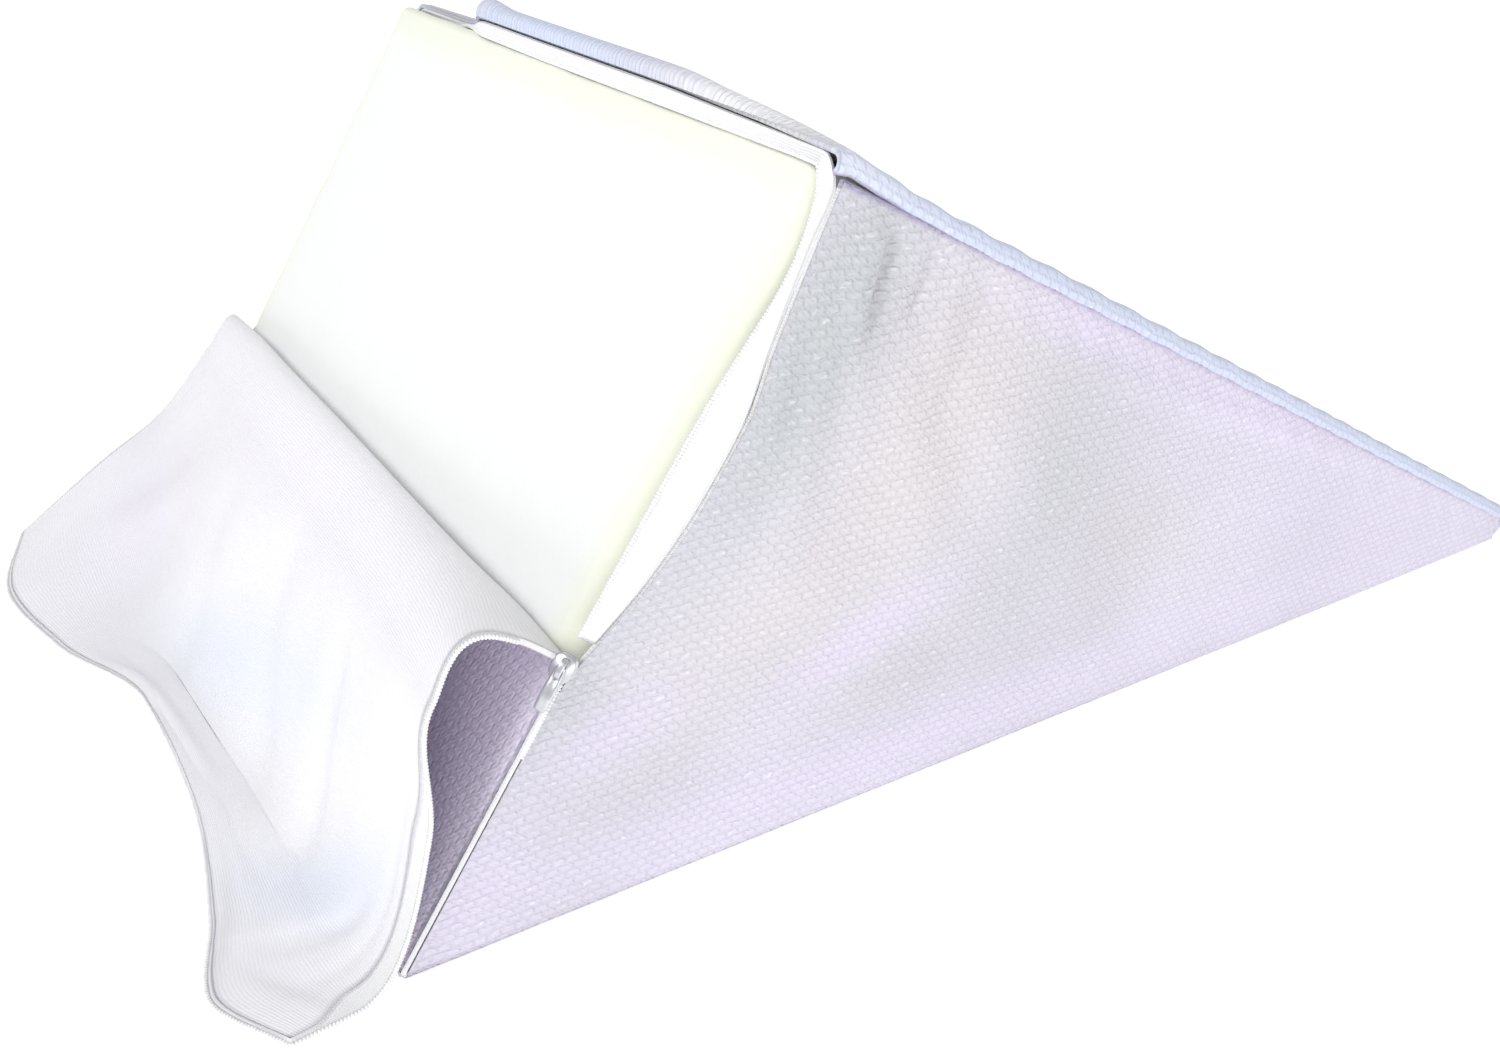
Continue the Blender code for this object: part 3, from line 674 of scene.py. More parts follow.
def bar(path, wide, deep, turned):
    """A rounded bar along a path, as points and faces. turned points across it at every place."""
    along = np.gradient(path, axis=0)
    along /= np.linalg.norm(along, axis=1, keepdims=True)
    side = np.broadcast_to(turned, path.shape)
    deepward = np.cross(along, side)
    shape = rounded_box(wide, deep, 4.0, 16)
    points = path[:, None] + side[:, None] * shape[None, :, :1] + deepward[:, None] * shape[None, :, 1:]
    index = np.arange(len(path) * 16).reshape(len(path), 16)
    following = np.roll(index, -1, 1)
    faces = np.stack([index[:-1], following[:-1], following[1:], index[1:]], -1).reshape(-1, 4).tolist()
    return points.reshape(-1, 3), faces + [index[0][::-1].tolist(), index[-1].tolist()]


def joined(pieces):
    """Several pieces' points and faces as one."""
    points, faces, first = [], [], 0
    for some, sides in pieces:
        points.append(np.asarray(some))
        faces += [[v + first for v in side] for side in sides]
        first += len(some)
    return np.concatenate(points), faces


def flap_controls():
    """Control points of the opened panel, section by section, and how far along the cloth they lie."""
    rows = []
    for part in FLAP:
        shift = part.end_y - part.across
        across = part.across + shift * np.array(FLAP_SWING)
        lower = on_face([FLAP_START, part.crest * 0.55, part.crest * 0.97], FLAP_OFF, across[:3])
        x = np.array([part.top_x, part.shoulder_x, part.middle_x, part.foot_x, part.end_x])
        z = np.array([part.top_z, part.shoulder_z, part.middle_z, part.foot_z, part.end_z])
        rows.append(np.concatenate([lower, place(x, across[3:], z)]))
    rows = np.array(rows)
    steps = np.linalg.norm(np.diff(rows, axis=1), axis=2).mean(0)
    along = np.concatenate([[0], np.cumsum(steps)])
    return rows, along / along[-1], along[-1]


FLAP_POINTS, FLAP_KNOTS, FLAP_LENGTH = flap_controls()
OPEN_FROM = FLAP_KNOTS[2]


def flap_points(across, along):
    """Points of the opened panel's middle layer; both shares run from 0 to 1."""
    across, along = np.broadcast_arrays(np.asarray(across, float), np.asarray(along, float))
    controls = hermite(column(FLAP, "across"), FLAP_POINTS, across.ravel() * WIDTH)
    slopes = np.gradient(controls, FLAP_KNOTS, axis=1)
    at = np.clip(along.ravel(), 0, 1)
    first = np.clip(np.searchsorted(FLAP_KNOTS, at, side="right") - 1, 0, len(FLAP_KNOTS) - 2)
    width = (FLAP_KNOTS[first + 1] - FLAP_KNOTS[first])[:, None]
    share = (at - FLAP_KNOTS[first])[:, None] / width
    row = np.arange(len(at))
    ends = controls[row, first], slopes[row, first] * width
    following = controls[row, first + 1], slopes[row, first + 1] * width
    points = blend(*ends, *following, share)
    off = (points[:, 0] + BASE / 2) * FACE_OUT[0] + points[:, 2] * FACE_OUT[1]
    push = np.maximum(FLAP_OFF - off, 0)
    points[:, 0] += push * FACE_OUT[0]
    points[:, 2] = np.maximum(points[:, 2] + push * FACE_OUT[1], CLOTH / 2 + GAP / 2)
    return points.reshape(*across.shape, 3)


def gape_at(table, up):
    """How far a side panel's free edge is drawn back and stands out, up the face."""
    return hermite(column(table, "up"), np.stack([column(table, "back"), column(table, "out")], -1), up)


def fold_height(x, z):
    """Height of the folds that fan out from the ridge, at points of the side panel."""
    below = np.stack([x - FOOT, z - RISE], -1)
    distance = np.linalg.norm(below, axis=-1)
    angle = np.arccos(np.clip((below @ -FACE_UP) / np.maximum(distance, 1e-6), -1, 1))
    height = np.zeros_like(distance)
    for fold in FOLDS:
        share = np.clip((distance - fold.start) / (fold.end - fold.start), 0, 1)
        width = fold.half_width * (0.6 + 0.8 * share)
        across = (angle - fold.angle) * distance / width
        height += fold.height * np.sin(math.pi * share) * np.exp(-(across**2))
    return height


def side_middle(table, folded, columns, rows, detail):
    """Middle layer of a side panel as x, distance out of the side, and z. detail adds height by place."""
    run = np.linspace(0, 1, columns) ** 1.2
    rise = np.linspace(0, 1, rows)
    tip_x = BASE - TIP_TANGENT - 0.0015
    low_z = 0.0012
    seam = FOOT * TOP_OUT[0] + RISE * TOP_OUT[1] - CLOTH / 2 - SEAM_DROP + 0.0003
    low_x = low_z * FACE_UP[0] / FACE_UP[1] + (tip_x - low_z * FACE_UP[0] / FACE_UP[1]) * run
    ridge_up = BACK_HEIGHT - (CLOTH / 2 + SEAM_DROP + GAP) / math.sin(APEX_ANGLE)
    high_x = ridge_up * FACE_UP[0] + (tip_x - ridge_up * FACE_UP[0]) * run
    high_z = (seam - high_x * TOP_OUT[0]) / TOP_OUT[1]
    x = low_x[:, None] + (high_x - low_x)[:, None] * rise[None, :]
    z = low_z + (high_z - low_z)[:, None] * rise[None, :]
    gape = gape_at(table, np.clip(rise * ridge_up, 0, BACK_HEIGHT))
    fade = np.clip(1 - run / 0.22, 0, 1)[:, None] ** 2
    x = x - gape[None, :, 0] * FACE_OUT[0] * fade
    z = z - gape[None, :, 0] * FACE_OUT[1] * fade
    inside = np.sin(math.pi * run)[:, None] * np.sin(math.pi * rise)[None, :]
    inside = inside * np.clip((high_z - low_z) / 0.1, 0, 1)[:, None]
    out = CROWN * inside + gape[None, :, 1] * fade
    below_seam = (1 - rise)[None, :] * (high_z - low_z)[:, None]
    from_seam = np.minimum(rise[None, :] * (high_z - low_z)[:, None] + 0.003, below_seam)
    from_seam = np.minimum(from_seam, (tip_x - x) * 0.5 + 0.001)
    if folded:
        out = out + fold_height(x, z) * np.clip(run / 0.05, 0, 1)[:, None] * smooth(0.0, 0.010, below_seam)
    out = out + detail(x, z) * smooth(0.0, 0.010, from_seam) * np.clip(run / 0.03, 0, 1)[:, None]
    out = out - 0.0005 * (1 - smooth(0.0, 0.0035, below_seam)) * smooth(0.01, 0.04, run)[:, None]
    arc = TIP_RADIUS - CLOTH / 2 - SEAM_DROP - 0.0001
    reach = BASE - TIP_TANGENT - 0.0002 + np.sqrt(np.maximum(arc**2 - (z - TIP_RADIUS) ** 2, 0)) - tip_x
    x = x + reach * smooth(0.85, 1.0, run)[:, None]
    return x, out - CLOTH / 2, z, below_seam


NEAR_CREASES = (
    Crease(0.189, 0.233, 0.171, 0.190, 0.0030, -0.0034),
    Crease(0.181, 0.233, 0.163, 0.195, 0.0050, 0.0020),
    Crease(0.204, 0.224, 0.190, 0.194, 0.0028, -0.0024),
    Crease(0.229, 0.210, 0.204, 0.152, 0.0050, -0.0016),
    Crease(0.216, 0.217, 0.200, 0.180, 0.0050, 0.0016),
    Crease(0.150, 0.215, 0.146, 0.150, 0.0060, -0.0010),
    Crease(0.255, 0.170, 0.520, 0.055, 0.0060, 0.0012),
    Crease(0.110, 0.150, 0.175, 0.080, 0.0140, 0.0009),
    Crease(0.230, 0.165, 0.200, 0.060, 0.0120, -0.0008),
    Crease(0.290, 0.150, 0.270, 0.060, 0.0140, 0.0008),
    Crease(0.080, 0.045, 0.330, 0.022, 0.0080, -0.0006),
    Crease(0.360, 0.110, 0.350, 0.040, 0.0140, -0.0006),
)


# Painted light and shade on the side panels: tints that the room's light gives them, in soft patches
RIDGE_TURN = math.atan2(TOP_ALONG[1], TOP_ALONG[0])
FACE_TURN = math.atan2(FACE_UP[1], FACE_UP[0])
SIDE_PATCHES = (
    Patch("warm", 0.205, 0.155, 0.080, 0.050, FACE_TURN, 0.70),
    Patch("warm", 0.125, 0.095, 0.060, 0.035, 0.3, 0.50),
    Patch("warm", 0.330, 0.075, 0.060, 0.025, RIDGE_TURN, 0.35),
    Patch("cool", 0.152, 0.190, 0.075, 0.022, FACE_TURN, 0.85),
    Patch("cool", 0.066, 0.105, 0.050, 0.020, FACE_TURN, 0.55),
    Patch("cool", 0.265, 0.118, 0.045, 0.022, 1.1, 0.30),
    Patch("lilac", 0.279, 0.176, 0.045, 0.012, RIDGE_TURN, 0.70),
    Patch("lilac", 0.370, 0.124, 0.090, 0.010, RIDGE_TURN, 0.75),
    Patch("lilac", 0.180, 0.077, 0.040, 0.012, 0.35, 0.65),
    Patch("lilac", 0.078, 0.072, 0.030, 0.014, 0.3, 0.65),
    Patch("lilac", 0.230, 0.018, 0.260, 0.018, 0.0, 0.60),
    Patch("lilac", 0.480, 0.045, 0.120, 0.045, RIDGE_TURN / 2, 0.50),
    Patch("lilac", 0.030, 0.035, 0.030, 0.020, FACE_TURN, 0.50),
)


def near_detail(x, z):
    """Listed creases and slight slack of the near side."""
    height = pressed(NEAR_CREASES, x, z) + 0.00035 * ripple(x, z, 5, 0.06)
    seam = (FOOT * TOP_OUT[0] + RISE * TOP_OUT[1]) - (x * TOP_OUT[0] + z * TOP_OUT[1])
    pucker = np.sin((x - FOOT) / 0.0105 * math.pi + 1.5 * np.sin(x / 0.05))
    return height + 0.00045 * pucker * np.exp(-(((seam - 0.012) / 0.010) ** 2))


def far_detail(x, z):
    return 0.0006 * ripple(x, z, 11, 0.09) + 0.00025 * ripple(x, z, 12, 0.03)


def top_profile(lip_forward, lip_height, spacing):
    """Along and height of the top panel's middle layer from its free edge to the thin edge's seam."""
    half = CLOTH / 2
    edge_height = min(lip_height * 0.3, 0.0030)
    steep = min(max((lip_height - 0.003) / 0.006, 0.0), 1.0)
    controls = np.array(
        [
            [-lip_forward, edge_height],
            [0.0030 - 0.0040 * steep - lip_forward, (edge_height + lip_height) / 2],
            [0.0060 - 0.0035 * steep - lip_forward, lip_height],
            [0.020 + max(-lip_forward, 0.0), lip_height * 0.4],
            [0.060, -half],
            [0.200, -half],
            [TOP_LENGTH - TIP_TANGENT, -half],
        ]
    )
    knots = np.array([0, 3, 6, 9, 12, 14, 19])
    profile = hermite(knots, controls, spacing)
    profile[:, 1] = np.maximum(profile[:, 1], -half)
    return profile


def lip_at(across):
    forward = float(hermite(column(LIP, "across"), column(LIP, "forward"), across))
    return forward, float(hermite(column(LIP, "across"), column(LIP, "height"), across))


TOP_CREASES = (
    Crease(0.040, 0.030, 0.190, 0.120, 0.0100, 0.0011),
    Crease(0.050, 0.400, 0.210, 0.300, 0.0110, 0.0010),
    Crease(0.150, 0.060, 0.430, 0.090, 0.0120, -0.0009),
    Crease(0.230, 0.380, 0.470, 0.360, 0.0120, -0.0009),
    Crease(0.300, 0.150, 0.400, 0.280, 0.0130, 0.0009),
)


TOP_PATCHES = (
    Patch("blue", 0.004, 0.230, 0.030, 0.120, 0.0, 0.95),
    Patch("white", 0.004, 0.060, 0.030, 0.050, 0.0, 0.95),
    Patch("lilac", 0.250, 0.220, 0.200, 0.120, 0.0, 0.35),
)


def top_rows():
    """The top panel's middle layer, row by row across the width, and its own two lengths."""
    quarter = np.linspace(0, math.pi / 2, 9)
    wrap = [(CLOTH / 2 + WRAP_RADIUS * (1 - math.cos(a)), WRAP_RADIUS * (1 - math.sin(a))) for a in quarter]
    near = [(CLOTH / 2 + 0.0008, SEAM_DROP + 0.0002), (CLOTH / 2 + 0.0001, SEAM_DROP - 0.0008)] + wrap
    far = [(WIDTH - across, drop) for across, drop in reversed(near)]
    flat = [(across, 0.0) for across in np.linspace(near[-1][0], far[0][0], 150)[1:-1]]
    spacing = np.concatenate([np.linspace(0, 12, 49), np.linspace(12, 19, 111)[1:]])
    rows, cloth = [], []
    wide = 0.0
    before = None
    for across, drop in near + flat + far:
        if before is not None:
            wide += math.hypot(across - before[0], drop - before[1])
        before = (across, drop)
        profile = top_profile(*lip_at(across), spacing)
        down = np.clip(profile[:, 0] / (TOP_LENGTH - TIP_TANGENT), 0, 1)
        edge = min(across, WIDTH - across)
        slack = smooth(0, 0.03, edge) * smooth(0.02, 0.10, down) * (1 - smooth(0.9, 1.0, down))
        along = profile[:, 0]
        crown = CROWN * math.sin(math.pi * across / WIDTH) * np.sin(math.pi * down)
        uneven = 0.0006 * ripple(along, across, 21, 0.1)
        crown = crown + slack * (pressed(TOP_CREASES, along, across) + uneven)
        pucker = np.sin(along / 0.0105 * math.pi + 1.5 * np.sin(along / 0.05))
        near_seam = math.exp(-(((edge - 0.008) / 0.008) ** 2))
        crown = crown + 0.0004 * pucker * near_seam * smooth(0.02, 0.06, down)
        straight = on_top(along, profile[:, 1] + crown - drop, across)
        turns = np.linspace(0, math.pi - TIP_ANGLE, 22)[1:]
        radius = TIP_RADIUS - CLOTH / 2 - drop
        angles = math.atan2(TOP_OUT[1], TOP_OUT[0]) - turns
        x = BASE - TIP_TANGENT + radius * np.cos(angles)
        rows.append(np.concatenate([straight, place(x, across, TIP_RADIUS + radius * np.sin(angles))]))
        lengths = np.concatenate([along, along[-1] + radius * turns])
        cloth.append(np.stack([lengths, np.full(len(lengths), wide)], 1))
    return np.array(rows), np.array(cloth)


def cover_edge(teeth, run):
    """Where the cover's cloth edge lies beside a point of the toothed edge."""
    if run == "top":
        edge = top_profile(*lip_at(teeth.across), np.array([0.0, 1.0]))[0]
        return on_top(edge[0] - 2 * GAP, edge[1] - CLOTH / 2 - TAPE / 2, teeth.across)
    back, out = gape_at(NEAR_GAPE if run == "near" else FAR_GAPE, teeth.up)
    if run == "near":
        return on_face(teeth.up, TAPE / 2 + TAPE_GAP - back, CLOTH / 2 - out)
    return on_face(teeth.up, TAPE - back, WIDTH + out - CLOTH - TAPE - TAPE_GAP)


def cover_tape_lines(count):
    """The cloth edge and the toothed edge of the cover's tape, and the run along them."""
    rows = []
    for run, table in (("near", NEAR_TEETH), ("top", TOP_TEETH), ("far", FAR_TEETH)):
        for teeth in table:
            rows.append((cover_edge(teeth, run), on_face(teeth.up, teeth.off, teeth.across)))
    rows = np.array(rows)
    steps = np.linalg.norm(np.diff(rows.mean(1), axis=0), axis=1)
    knots = np.concatenate([[0], np.cumsum(steps)])
    at = np.linspace(0, knots[-1], count)
    return hermite(knots, rows[:, 0], at), hermite(knots, rows[:, 1], at), at


def flap_tape_lines(reach, inset):
    """A line round the opened panel's free edges, inset from them, as shares across and along."""
    wide, deep = inset / WIDTH, inset / FLAP_LENGTH
    start = OPEN_FROM + 0.035
    side = np.linspace(0, 1, reach)
    foot = np.linspace(0, 1, reach * 2)[1:-1]
    along = start + (1 - deep - start) * side
    across = wide + (1 - 2 * wide) * foot
    line = [np.stack([np.full(reach, wide), along], 1), np.stack([across, np.full(len(across), 1 - deep)], 1)]
    line.append(np.stack([np.full(reach, 1 - wide), along[::-1]], 1))
    return np.concatenate(line)


class PillowSizes(bpy.types.PropertyGroup):
    """Sizes that a user may change."""

    tooth_pitch: FloatProperty(
        name="Tooth Pitch", description="Space between zip teeth", default=0.0012, unit="LENGTH"
    )
    stitch_pitch: FloatProperty(
        name="Stitch Pitch", description="Space between stitches", default=0.0032, unit="LENGTH"
    )
    thread: FloatProperty(
        name="Thread", description="Thickness of the sewing thread", default=0.0006, unit="LENGTH"
    )
    cell: FloatProperty(
        name="Knit Cell", description="Length of a raised cell in the knit", default=0.0050, unit="LENGTH"
    )


def tone(name, description, default):
    """A colour that a user may change."""
    return FloatVectorProperty(name=name, description=description, subtype="COLOR", default=default)


class PillowColours(bpy.types.PropertyGroup):
    """Colours that a user may change."""

    cover: tone("Cover", "Lighter tone of the cover", (0.70, 0.67, 0.78))
    cover_shade: tone("Cover Shade", "Greyer tone of the cover", (0.60, 0.585, 0.65))
    # Painted light: much lighter than the cover's own knit, in place of the light that reaches the opened
    # panel's outer side under the flap
    opened_outer: tone("Opened Panel, Outer", "Outer side of the opened panel", (0.90, 0.84, 0.98))
    opened_inner: tone("Opened Panel, Inner", "Inner side of the opened panel", (0.93, 0.92, 0.96))
    foam: tone("Foam", "Face of the foam", (0.89, 0.905, 0.90))
    # Painted shade and light through the foam on its rounded edges
    foam_edge_shade: tone("Foam Edges", "Tinge of the foam's edges", (0.86, 0.885, 0.74))
    tape: tone("Tape", "Zip tape", (0.94, 0.94, 0.96))
    metal: tone("Slider", "Slider and pull tab", (0.60, 0.61, 0.64))


def sizes():
    return bpy.context.scene.pillow_sizes


def colours():
    return bpy.context.scene.pillow_colours


def shared(name, maker, *values):
    """A finish that several pieces share, made the first time it is asked for."""
    return bpy.data.materials.get(name) or maker(name, *values)


def zip_tape():
    return shared("zip_tape", tape_finish, tuple(colours().tape))


def seam_thread():
    return shared("seam_thread", plain_finish, (0.36, 0.32, 0.50), 0.8)


def cover_knit():
    cell = sizes().cell * 1000
    light, shade = tuple(colours().cover), tuple(colours().cover_shade)
    return shared("cover_knit", raised_knit, light, shade, (cell, cell * 0.68))


class FOAM_OT_wedge(bpy.types.Operator):
    """Make the foam wedge with rounded, slightly uneven edges"""

    bl_idname = "pillow.foam_wedge"
    bl_label = "Foam Wedge"

    def execute(self, context):
        inner = FOAM_CLEARANCE
        corners = np.array(
            [
                FACE_UP * inner / FACE_UP[1],
                FACE_UP * (BACK_HEIGHT - inner / math.sin(APEX_ANGLE)),
                [BASE - inner / math.tan(TIP_ANGLE / 2), inner],
            ]
        )
        edge_radius, corner_radii = 0.014, (0.008, 0.005, 0.010)
        angles = np.linspace(0, math.pi / 2, 13)
        ends = [(edge_radius * (1 - math.cos(a)), edge_radius * (1 - math.sin(a))) for a in angles]
        stations = [(FOAM_SIDE_CLEARANCE + along, inset) for along, inset in ends]
        middle = np.linspace(stations[-1][0], WIDTH - stations[-1][0], 44)[1:-1]
        stations += [(across, 0.0) for across in middle]
        stations += [(WIDTH - FOAM_SIDE_CLEARANCE - along, inset) for along, inset in reversed(ends)]
        rings, edge_shade_masks = [], []
        for across, inset in stations:
            radii = [max(radius - inset / 2, radius / 2) for radius in corner_radii]
            outline, rim = self.outline(corners, inset, radii)
            side = min(across, WIDTH - across) - FOAM_SIDE_CLEARANCE
            rings.append(place(outline[:, 0], across, outline[:, 1]))
            # The rim number says where the edges are painted with shade, near the corners and the sides
            edge_shade_masks.append(np.maximum(rim, 1 - smooth(0.004, 0.024, side)))
        rings, edge_shade_masks = np.array(rings), np.array(edge_shade_masks)
        count, around = rings.shape[:2]
        normals = np.cross(
            np.roll(rings, -1, 1) - np.roll(rings, 1, 1), np.gradient(rings, axis=0)
        )
        normals /= np.maximum(np.linalg.norm(normals, axis=2, keepdims=True), 1e-12)
        x, y, z = np.moveaxis(rings, -1, 0)
        dent = 0.00035 * (1 + ripple(x + 0.6 * z, y - 0.4 * z, 31, 0.05))
        dent = dent + 0.00018 * (1 + ripple(y + z, x, 32, 0.018))
        rings = rings + normals * (-np.abs(dent) * self.inward(rings, normals))[..., None]
        index = np.arange(count * around).reshape(count, around)
        following = np.roll(index, -1, 1)
        quads = np.stack([index[:-1], following[:-1], following[1:], index[1:]], -1).reshape(-1, 4)
        faces = [tuple(q) for q in quads]
        faces += [tuple(index[0][::-1]), tuple(index[-1])]
        finish = foam_finish("foam_face", tuple(colours().foam), tuple(colours().foam_edge_shade))
        mesh = mesh_from("foam_wedge", rings.reshape(-1, 3), faces, [finish], numbers={"rim": edge_shade_masks.ravel()})
        made = link("foam_wedge", mesh, "foam_core")
        return {"FINISHED"}

    def inward(self, rings, normals):
        """1 where the normals point out of the wedge and -1 where they point in."""
        centre = rings.reshape(-1, 3).mean(0)
        return np.where(((rings - centre) * normals).sum(2) > 0, 1.0, -1.0)

    def outline(self, corners, inset, radii):
        """A rounded triangle with even points along its sides, and how near each is to a corner."""
        arcs = []
        befores, afters = np.roll(corners, 1, 0), np.roll(corners, -1, 0)
        for before, corner, after, radius in zip(befores, corners, afters, radii):
            back, ahead = before - corner, after - corner
            back, ahead = back / np.linalg.norm(back), ahead / np.linalg.norm(ahead)
            middle = (back + ahead) / np.linalg.norm(back + ahead)
            half = math.acos(float(back @ ahead)) / 2
            centre = corner + middle * (inset + radius) / math.sin(half)
            turn = math.pi / 2 - half
            start = math.atan2(-middle[1], -middle[0])
            sense = 1.0 if back[0] * ahead[1] < back[1] * ahead[0] else -1.0
            angles = np.linspace(-turn, turn, 11) * sense + start
            arcs.append(centre + radius * np.stack([np.cos(angles), np.sin(angles)], 1))
        points = []
        for arc, following, count in zip(arcs, arcs[1:] + arcs[:1], (40, 60, 60)):
            points.append(arc)
            share = np.linspace(0, 1, count)[1:-1, None]
            points.append(arc[-1] * (1 - share) + following[0] * share)
        points = np.concatenate(points)
        near = np.min(np.linalg.norm(points[:, None] - corners[None], axis=2), axis=1)
        return points, (1 - smooth(0.006, 0.026, near)) * 0.8


class COVER_OT_sides(bpy.types.Operator):
    """Make the two triangular side panels of raised knit"""

    bl_idname = "pillow.side_panels"
    bl_label = "Side Panels"

    def execute(self, context):
        for near in (True, False):
            table, detail = (NEAR_GAPE, near_detail) if near else (FAR_GAPE, far_detail)
            size = (250, 120) if near else (150, 80)
            x, out, z, below_seam = side_middle(table, near, *size, detail)
            across = -out if near else WIDTH + out
            name = "side_cloth_near" if near else "side_cloth_far"
            grid = place(x, across, z)
            numbers = patched(SIDE_PATCHES, x, z)
            # Painted shade along the ridge seam: the seam number is high within about a millimetre of it
            numbers["seam"] = np.exp(-((below_seam / 0.0011) ** 2))
            flat = np.stack([x, z], -1)
            finishes = [cover_knit(), zip_tape()]
            mesh = cloth_mesh(name, grid, flat, CLOTH, finishes, edges=(0, 0, 0, 1), numbers=numbers)
            made = link(name, mesh, "side_panel_near" if near else "side_panel_far")
            outside = np.array([0, -1.0 if near else 1.0, 0])
            path = grid[3:-2, -1] + outside * 0.0009
            lean = np.broadcast_to(outside, path.shape)
            thread = sizes().thread
            size = (sizes().stitch_pitch * 0.62, thread, thread)
            row = beads(name + "_stitches", path, size, sizes().stitch_pitch, seam_thread(), lean)
            row = link(name + "_stitches", row)
        return {"FINISHED"}


class COVER_OT_top(bpy.types.Operator):
    """Make the sloping top panel with its lifted free edge"""

    bl_idname = "pillow.top_panel"
    bl_label = "Top Panel"

    def execute(self, context):
        grid, cloth = top_rows()
        side = np.minimum(cloth[..., 1], cloth[-1, -1, 1] - cloth[..., 1])
        numbers = patched(TOP_PATCHES, cloth[..., 0], cloth[..., 1])
        numbers["blue"] = np.maximum(numbers["blue"], 0.75 * (1 - smooth(0.006, 0.030, side)))
        # Painted shade along the top panel's seams with the side panels, within about a millimetre of them
        numbers["seam"] = np.exp(-((side / 0.0009) ** 2))
        mesh = cloth_mesh("top_cloth", grid, cloth, CLOTH, [cover_knit()], numbers=numbers)
        made = link("top_cloth", mesh, "top_panel")
        return {"FINISHED"}


class COVER_OT_base(bpy.types.Operator):
    """Make the base panel that the pillow rests on"""

    bl_idname = "pillow.base_panel"
    bl_label = "Base Panel"

    def execute(self, context):
        x = np.linspace(0.0, BASE - TIP_TANGENT - 2 * GAP, 80)[:, None]
        across = np.linspace(CLOTH + GAP, WIDTH - CLOTH - GAP, 60)[None, :]
        grid = place(x, across, CLOTH / 2)
        cloth = np.stack(np.broadcast_arrays(x, across), -1)
        made = link("base_cloth", cloth_mesh("base_cloth", grid, cloth, CLOTH, [cover_knit()]), "base_panel")
        return {"FINISHED"}


FLAP_CREASES = (
    Crease(0.105, 0.160, 0.090, 0.270, 0.0090, -0.0030),
    Crease(0.200, 0.150, 0.130, 0.260, 0.0120, -0.0028),
    Crease(0.290, 0.160, 0.230, 0.250, 0.0130, -0.0018),
    Crease(0.035, 0.235, 0.060, 0.300, 0.0050, -0.0030),
    Crease(0.150, 0.270, 0.300, 0.285, 0.0060, 0.0016),
    Crease(0.330, 0.190, 0.400, 0.270, 0.0130, 0.0020),
    Crease(0.020, 0.170, 0.022, 0.290, 0.0030, -0.0012),
)


# Painted shade on the opened panel: blue and lilac patches along the valley where it comes down to the floor,
# and thin darker seam lines near its free end; a fainter lilac band lies across the top of the fold
FLAP_PATCHES = (
    Patch("blue", 0.180, 0.215, 0.100, 0.022, 0.25, 0.75),
    Patch("blue", 0.060, 0.245, 0.050, 0.016, 0.6, 0.75),
    Patch("lilac", 0.370, 0.235, 0.060, 0.040, 0.0, 0.55),
    Patch("lilac", 0.200, 0.150, 0.160, 0.020, 0.0, 0.30),
    Patch("seam", 0.060, 0.284, 0.045, 0.0030, -0.1, 0.80),
    Patch("seam", 0.020, 0.272, 0.020, 0.0030, 0.3, 0.70),
)


class COVER_OT_opened(bpy.types.Operator):
    """Make the opened panel, folded outward and hanging to the floor"""

    bl_idname = "pillow.opened_panel"
    bl_label = "Opened Panel"

    def execute(self, context):
        columns, rows = 150, 210
        along = np.linspace(0, 1 - 0.0016 / FLAP_LENGTH, rows)
        margin = smooth(OPEN_FROM, OPEN_FROM + 0.03, along) * 0.0016 / WIDTH
        bare = smooth(0.60, 0.70, along) * (1 - smooth(0.90, 0.97, along)) * 0.0080 / WIDTH
        share = np.linspace(0, 1, columns)[:, None]
        across = margin + bare + (1 - 2 * margin - bare) * share
        grid = flap_points(across, along[None, :])
        cloth = np.stack(np.broadcast_arrays(across * WIDTH, along[None, :] * FLAP_LENGTH), -1)
        loose = smooth(OPEN_FROM + 0.10, OPEN_FROM + 0.30, along)[None, :]
        height = pressed(FLAP_CREASES, cloth[..., 0], cloth[..., 1])
        height = height + 0.0007 * ripple(cloth[..., 0], cloth[..., 1], 41, 0.07)
        inner = self.inner_side(grid)
        edge = np.minimum(np.minimum(cloth[..., 0], WIDTH - cloth[..., 0]), FLAP_LENGTH - cloth[..., 1])
        over_tape = 1 - smooth(TAPE_WIDTH, TAPE_WIDTH + 0.010, edge)
        height = height * (1 - over_tape) + np.maximum(height, 0) * over_tape
        lift = height * loose + 0.0009 * smooth(OPEN_FROM - 0.02, OPEN_FROM + 0.06, along)[None, :]
        grid = grid + inner * lift[..., None]
        grid[..., 2] = np.maximum(grid[..., 2], CLOTH / 2 + GAP / 2 + (TAPE + GAP) * over_tape)
        light = tuple(colours().opened_inner)
        inside = smooth_knit("opened_inside", light, tuple(c * 0.95 for c in light))
        # Painted light: the outer side is the cover's knit painted much lighter, in place of the light that
        # reaches it under the flap
        outer = tuple(colours().opened_outer)
        outside = raised_knit("opened_outside", outer, tuple(c * 0.9 for c in outer))
        upper_is_inner = float((grid_normals(grid) * inner).sum(2).mean()) > 0
        slots = (0, 1) if upper_is_inner else (1, 0)
        numbers = patched(FLAP_PATCHES, cloth[..., 0], cloth[..., 1])
        mesh = cloth_mesh("opened_cloth", grid, cloth, CLOTH, [inside, outside], slots, numbers=numbers)
        made = link("opened_cloth", mesh, "opened_panel")
        return {"FINISHED"}

    def inner_side(self, grid):
        """Normals that point to the side that was inside the cover."""
        normals = grid_normals(grid)
        towards_foam = normals[:, 2] @ np.array([FACE_OUT[0], 0.0, FACE_OUT[1]])
        return normals if towards_foam.mean() < 0 else -normals


